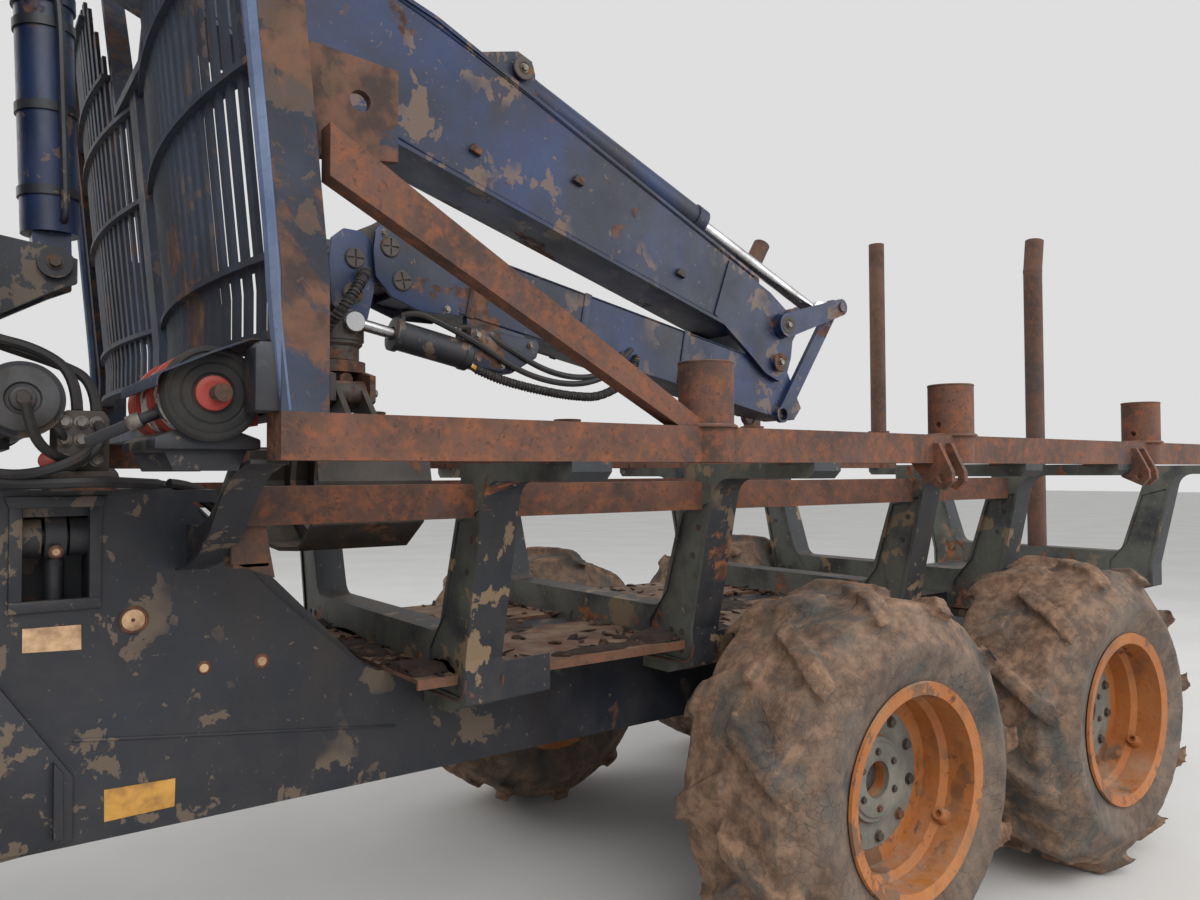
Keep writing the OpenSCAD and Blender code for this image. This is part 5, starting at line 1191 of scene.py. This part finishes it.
for x, y, wide, long, high in moundSpots:
    clearSelection()
    bpy.ops.mesh.primitive_ico_sphere_add(subdivisions=4, radius=1, location=at(x, y, deckTop - 4))
    mound = bpy.context.object
    mound.scale = (wide / 1000, long / 1000, high / 1000)
    bakePlace(mound)
    for vertex in mound.data.vertices:
        vertex.co.z += noise.noise(vertex.co * 22) * 0.012 + noise.noise(vertex.co * 70) * 0.006
        low, high = min(deckAreas, key=lambda area: abs((area[0] + area[1]) / 2 - x))
        vertex.co.x = min(max(vertex.co.x, at(low, 0, 0).x), at(high, 0, 0).x)
        vertex.co.y = min(max(vertex.co.y, -0.69), 0.69)
        vertex.co.z = max(vertex.co.z, deckTop / 1000 - 0.012)
    mounds.append(mound)
finishGroup("deckSoil", mounds, "barkDark", "rear_frame", 80)
print("deck littered")

# ---- cab: glass with seals, mirrors, wiper, lamps, rails and treads ----

cabSize = dict(rear=3720, front=5020, half=740, floor=1400, top=3330, doorRear=4080, doorFront=4830)


def addLoop(points, radius):
    # a closed line of rubber or rod through corners
    curve = bpy.data.curves.new("loop", "CURVE")
    curve.dimensions = "3D"
    curve.bevel_depth = radius / 1000
    curve.bevel_resolution = 1
    spline = curve.splines.new("POLY")
    spline.points.add(len(points) - 1)
    for spot, point in zip(spline.points, points):
        spot.co = (*at(*point), 1)
    spline.use_cyclic_u = True
    piece = newPiece("loop", curve)
    pick(piece)
    bpy.ops.object.convert(target="MESH")
    return piece


def roundCorners(points, reach):
    # a flat outline with each corner turned in three steps
    outline = []
    for i, point in enumerate(points):
        before, after = Vector(points[i - 1]), Vector(points[(i + 1) % len(points)])
        corner = Vector(point)
        first = corner + (before - corner).normalized() * reach
        last = corner + (after - corner).normalized() * reach
        outline += [tuple(first), tuple((first + last + corner * 2) / 4), tuple(last)]
    return outline


windows = {
    "rearSideLeft": dict(corners=[(3830, 2120), (4000, 2120), (4000, 3140), (3830, 3140)], axis="y", place=706, out=741,
                         body="front_frame"),
    "rearSideRight": dict(corners=[(3830, 2120), (4040, 2120), (4040, 3140), (3830, 3140)], axis="y", place=-706, out=-741,
                          body="front_frame"),
    "sideRight": dict(corners=[(4110, 2000), (4830, 2000), (4830, 3140), (4110, 3140)], axis="y", place=-706, out=-741,
                      body="front_frame"),
    "rear": dict(corners=[(-630, 2050), (630, 2050), (630, 3150), (-630, 3150)], axis="x", place=3745, out=3719,
                 body="front_frame"),
    "doorUpper": dict(corners=[(4150, 2030), (4760, 2030), (4760, 3070), (4150, 3070)], axis="y", place=708, out=741,
                      body="cab_door"),
    "doorLower": dict(corners=[(4150, 1560), (4760, 1560), (4760, 1950), (4150, 1950)], axis="y", place=708, out=741,
                      body="cab_door"),
}
for name, window in windows.items():
    lift = acrossAxes[window["axis"]]
    grown = [(u + (6 if u > sum(c[0] for c in window["corners"]) / 4 else -6),
              v + (6 if v > sum(c[1] for c in window["corners"]) / 4 else -6)) for u, v in window["corners"]]
    pane = addPlate(grown, window["axis"], window["place"] - 3, window["place"] + 3)
    finishGroup("glass_" + name, [pane], "cabGlass", window["body"])
    seal = addLoop([lift(u, v, window["out"]) for u, v in roundCorners(window["corners"], 40)], 11)
    inner = addLoop([lift(u, v, window["place"] + (8 if window["place"] * window["out"] > 0 and window["axis"] == "y" else -8))
                     for u, v in roundCorners(window["corners"], 30)], 7)
    finishGroup("seal_" + name, [seal, inner], "blackRubber", window["body"])


def onFront(y, z, out):
    # on the sloping front window of the cab
    return (5020 - max(0, z - 2300) * 110 / 970 + out, y, z)


frontPane = addPlate([(4990, 2290), (4996, 2290), (4897, 3158), (4891, 3158)], "y", -636, 636)
finishGroup("glass_front", [frontPane], "cabGlass", "front_frame")
frontSeal = addLoop([onFront(y, z, 2) for y, z in roundCorners([(-630, 2300), (630, 2300), (630, 3150), (-630, 3150)], 50)], 11)
finishGroup("seal_front", [frontSeal], "blackRubber", "front_frame")
wiper = [addHose([onFront(120, 2240, 20), onFront(100, 2330, 34), onFront(-60, 2600, 22), onFront(-140, 2760, 14)], 7, 1),
         addHose([onFront(-330, 2560, 6), onFront(-140, 2760, 10), onFront(60, 2970, 6)], 6, 1),
         addTurned([(0, 0), (0, 26), (16, 26), (22, 18), (22, 0)], onFront(120, 2240, -2), (1, 0, 0), 20)]
finishGroup("wiper", wiper, "blackRubber", "front_frame")

mirrors = []
for y in (800,):
    arm = addHose([(4990, 745, 2760), (5060, 790, 2790), (5090, 850, 2770), (5090, 880, 2700)], 11)
    head = addPlate(roundCorners([(800, 2420), (980, 2420), (980, 2740), (800, 2740)], 40), "x", 5074, 5112, 0.012)
    mirrors += [arm, head]
finishGroup("mirrors", withMirror(mirrors), "blackRubber", "front_frame")
mirrorGlass = [addPlate(roundCorners([(818, 2440), (962, 2440), (962, 2720), (818, 2720)], 30), "x", 5070, 5075)]
finishGroup("mirrorGlass", withMirror(mirrorGlass), "mirrorFace", "front_frame")

lampProfile = [(-4, 0), (-4, 44), (2, 47), (8, 42), (13, 22), (15, 0)]
hoodProfile = [(-8, 66), (-8, 76), (8, 76), (8, 66), (-8, 66)]
roofLamps = [addTurned(lampProfile, (x, y, 3425), (way, 0, 0), 28) for y in (-520, -180, 180, 520)
             for x, way in ((4950, 1), (3700, -1))]
finishGroup("roofLampGlass", roofLamps, "lampGlass", "front_frame")
lampRims = [addTurned([(-6, 48), (-6, 56), (10, 56), (10, 48), (-6, 48)], (x, y, 3425), (way, 0, 0), 28)
            for y in (-520, -180, 180, 520) for x, way in ((4950, 1), (3700, -1))]
finishGroup("roofLampRims", lampRims, "blackRubber", "front_frame")
headLamps = [addTurned([(-4, 0), (-4, 62), (2, 64), (8, 58), (16, 30), (18, 0)], (6680, 460, 1720), (1, 0, 0), 36)]
finishGroup("headLampGlass", withMirror(headLamps), "lampGlass", "front_frame")
headRims = [addTurned(hoodProfile, (6680, 460, 1720), (1, 0, 0), 36)]
finishGroup("headLampRims", withMirror(headRims), "blackRubber", "front_frame")

rails = [addHose([(4036, 742, 1620), (4036, 800, 1640), (4036, 806, 1760), (4036, 806, 2400), (4036, 800, 2520), (4036, 742, 2540)], 14),
         addHose([(4900, 742, 1700), (4900, 800, 1720), (4900, 806, 1820), (4900, 806, 2200), (4900, 800, 2300), (4900, 742, 2320)], 14)]
finishGroup("grabRails", rails, "boltZinc", "front_frame")
handle = [addHose([(4740, 744, 1830), (4740, 784, 1836), (4740, 790, 1880), (4740, 784, 1924), (4740, 744, 1930)], 10),
          addTurned([(0, 0), (0, 22), (6, 22), (10, 14), (10, 0)], (4740, 741, 1800), (0, 1, 0), 24)]
finishGroup("doorHandle", handle, "blackRubber", "cab_door")

treads = []
for z in (902, 1092):
    treads.append(addPlate([(3856, 1006), (4204, 1006), (4204, 1148), (3856, 1148)], "z", z, z + 7, 0.002))
    treads += [addPlate([(x, 1010), (x + 9, 1010), (x + 9, 1146), (x, 1146)], "z", z + 6, z + 15) for x in range(3870, 4200, 38)]
finishGroup("stepTreads", withMirror(treads), "wornSteel", "front_frame")
tankCap = [addTurned([(-2, 0), (-2, 58), (16, 58), (22, 50), (26, 44), (26, 0)], (4020, 1000, 1361), (0, 0, 1), 32)]
tankStraps = [addHose([(x, 785, 778), (x, 1146, 778), (x, 1153, 790), (x, 1153, 1350), (x, 1146, 1363), (x, 785, 1363)], 9, 1)
              for x in (3812, 4258)]
finishGroup("tankCap", tankCap, "blackRubber", "front_frame")
finishGroup("tankStraps", withMirror(tankStraps), "boltZinc", "front_frame")
print("cab dressed")

# ---- hood and bumper: grille mesh, latches, seams, exhaust and bolts ----

mesh = []
for y in range(-320, 321, 32):
    mesh.append(addRod(0.0022, at(6612, y, 1280), at(6612, y, 1830), 6))
for z in range(1290, 1830, 30):
    mesh.append(addRod(0.0022, at(6608, -330, z), at(6608, 330, z), 6))
finishGroup("grilleMesh", mesh, "blackRubber", "front_frame")
grilleFrame = addLoop([(6641, y, z) for y, z in roundCorners([(-345, 1272), (345, 1272), (345, 1835), (-345, 1835)], 30)], 9)
finishGroup("grilleFrame", [grilleFrame], "blackRubber", "front_frame")
latches = []
for x in (5400, 6250):
    latches.append(addPlate([(x, 1200), (x + 34, 1200), (x + 34, 1290), (x + 17, 1304), (x, 1290)], "y", 618, 632, 0.004))
    latches.append(addPlate([(x + 6, 1172), (x + 28, 1172), (x + 28, 1192), (x + 6, 1192)], "y", 618, 640, 0.004))
finishGroup("hoodLatches", withMirror(latches), "blackRubber", "front_frame")
hoodSeam = [addHose([(x, 622, 1166), (x, 622, 1500), (x, 622, 2000), (x, 621, top)], 4, 1) for x, top in ((5860, 2150), (6500, 2085))]
finishGroup("hoodSeams", withMirror(hoodSeam), "blackRubber", "front_frame")
stack = addTurned([(-30, 0), (-30, 92), (-22, 96), (0, 70), (40, 64), (60, 74), (420, 74), (440, 60), (460, 46), (760, 46),
                   (764, 42), (764, 38), (500, 38), (500, 0)], (5330, -420, 2262), (0, 0, 1), 36)
finishGroup("exhaustStack", [stack], "stakeRust", "front_frame")
intake = addTurned([(-24, 0), (-24, 70), (160, 70), (166, 110), (176, 118), (250, 118), (268, 100), (280, 50), (280, 0)],
                   (5330, 430, 2258), (0, 0, 1), 36)
finishGroup("intakeBowl", [intake], "blackRubber", "front_frame")
bumperSpots = [((6801, y, z), (1, 0, 0)) for y in (-560, -380, 380, 560) for z in (900, 1080)]
addBolts("bumperBolts", bumperSpots, 16, "front_frame")
hitch = [addPlate([(6780, 960), (6799, 960), (6799, 1040), (6780, 1040)], "y", -90, 90, 0.003)]
finishGroup("bumperPlate", hitch, "wornSteel", "front_frame")
axleBolts = [(place, (0, way, 0)) for way in (1, -1) for place in ringSpots((5250, way * 641, 820), "y", 160, 12)]
addBolts("axleBolts", axleBolts, 14, "front_frame", "wornSteel")
cabBolts = [((x, way * 481, 1385), (0, way, 0)) for x in (3800, 3880, 4820, 4900) for way in (1, -1)]
addBolts("cabMountBolts", cabBolts, 12, "front_frame")
print("hood dressed")

# ---- joint: hoses that cross from the rear frame to the front, and the rear lamps ----

for i, (y, drop, radius) in enumerate(((-120, 60, 17), (-60, 90, 15), (10, 70, 17), (80, 100, 14), (140, 60, 16))):
    line = addHose([(3040, y, 1560), (3110, y, 1590), (3200, y, 1570), (3350, y, 1500 - drop), (3500, y, 1480), (3590, y, 1500),
                    (3680, y, 1500), (3716, y, 1500)], radius)
    smoothByAngle(line)
    line.name = "jointHose_%d" % i
    line.data.name = line.name
    line.data.materials.clear()
    line.data.materials.append(materials["hoseRubber"])
    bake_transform(line)
hosePlate = addPlate([(-170, 1520), (190, 1520), (190, 1610), (-170, 1610)], "x", 3700, 3716, 0.004)
finishGroup("hosePlateFront", [hosePlate], "navyPaint", "front_frame")
rearPlate = addPlate([(-170, 1500), (190, 1500), (190, 1620), (-170, 1620)], "x", 3024, 3046, 0.004)
rearLegs = [addPlate([(y, 1380), (y + 30, 1380), (y + 30, 1502), (y, 1502)], "x", 3030, 3044, 0.003) for y in (-170, 160)]
finishGroup("hosePlateRear", [rearPlate] + rearLegs, "navyPaint", "rear_frame")
tailLamps = [addTurned([(-2, 0), (-2, 46), (10, 46), (14, 38), (18, 20), (19, 0)], (-3400, 380, 940), (-1, 0, 0), 28)]
finishGroup("tailLamps", withMirror(tailLamps), "lampRed", "rear_frame")
tailRims = [addTurned([(-2, 46), (-2, 54), (14, 54), (14, 46), (-2, 46)], (-3400, 380, 940), (-1, 0, 0), 28)]
finishGroup("tailLampRims", withMirror(tailRims), "blackRubber", "rear_frame")
print("joint and rear dressed")


bpy.data.objects.remove(hexModel)

# ---- camera, lights and floor ----

cameraView = dict(place=(0.9742, 3.1692, 1.7359), turn=(91.4716, 0.2749, 143.7035), lens=27.2207)
cameraData = bpy.data.cameras.new("photoCamera")
cameraData.sensor_fit = "HORIZONTAL"
cameraData.sensor_width = 36
cameraData.lens = cameraView["lens"]
cameraData.clip_start = 0.05
cameraData.clip_end = 200
camera = bpy.data.objects.new("photoCamera", cameraData)
camera.location = cameraView["place"]
camera.rotation_euler = [math.radians(angle) for angle in cameraView["turn"]]
bpy.context.collection.objects.link(camera)
bpy.context.scene.camera = camera

lamps = [
    dict(name="keyLamp", place=(2.0, 9.0, 9.0), size=9.0, power=900),
    dict(name="fillLamp", place=(-9.0, 7.0, 5.0), size=8.0, power=420),
    dict(name="rearLamp", place=(6.0, -9.0, 8.0), size=9.0, power=420),
]
for lamp in lamps:
    lampData = bpy.data.lights.new(lamp["name"], "AREA")
    lampData.size = lamp["size"]
    lampData.energy = lamp["power"]
    lampObject = bpy.data.objects.new(lamp["name"], lampData)
    lampObject.location = lamp["place"]
    lampObject.rotation_euler = turnTo(Vector(lamp["place"]) - Vector((0, 0, 1.2)))
    bpy.context.collection.objects.link(lampObject)


def setWorld(light=0.62, backdrop=0.92):
    # soft light on the object, and a pale backdrop for the camera and for reflections
    world = bpy.data.worlds.new("studioWorld")
    bpy.context.scene.world = world
    world.use_nodes = True
    tree = world.node_tree
    tree.nodes.clear()
    output = tree.nodes.new("ShaderNodeOutputWorld")
    lightNode = tree.nodes.new("ShaderNodeBackground")
    lightNode.inputs["Strength"].default_value = light
    lightNode.inputs["Color"].default_value = (0.97, 0.98, 1.0, 1.0)
    paleNode = tree.nodes.new("ShaderNodeBackground")
    paleNode.inputs["Strength"].default_value = backdrop
    path = tree.nodes.new("ShaderNodeLightPath")
    either = tree.nodes.new("ShaderNodeMath")
    either.operation = "MAXIMUM"
    tree.links.new(path.outputs["Is Camera Ray"], either.inputs[0])
    tree.links.new(path.outputs["Is Glossy Ray"], either.inputs[1])
    through = tree.nodes.new("ShaderNodeMath")
    through.operation = "MAXIMUM"
    tree.links.new(either.outputs[0], through.inputs[0])
    tree.links.new(path.outputs["Is Transmission Ray"], through.inputs[1])
    mixer = tree.nodes.new("ShaderNodeMixShader")
    tree.links.new(through.outputs[0], mixer.inputs["Fac"])
    tree.links.new(lightNode.outputs[0], mixer.inputs[1])
    tree.links.new(paleNode.outputs[0], mixer.inputs[2])
    tree.links.new(mixer.outputs[0], output.inputs["Surface"])


setWorld()
bpy.context.scene.view_settings.view_transform = "Standard"

clearSelection()
bpy.ops.mesh.primitive_plane_add(size=160, location=(0, 0, -0.002))
floor = nameIt("studioFloor")
bakePlace(floor)
floorSurface = Surface("paleFloor")
floorTone = floorSurface.mix(floorSurface.ramp(floorSurface.noise(0.8, 3), 0.3, 0.7), (0.66, 0.65, 0.63, 1.0),
                             (0.71, 0.7, 0.68, 1.0))
floorSurface.join(floorTone, floorSurface.shader.inputs["Base Color"])
floorSurface.shader.inputs["Roughness"].default_value = 0.9
floor.data.materials.append(floorSurface.material)
print("camera, lights and floor set")
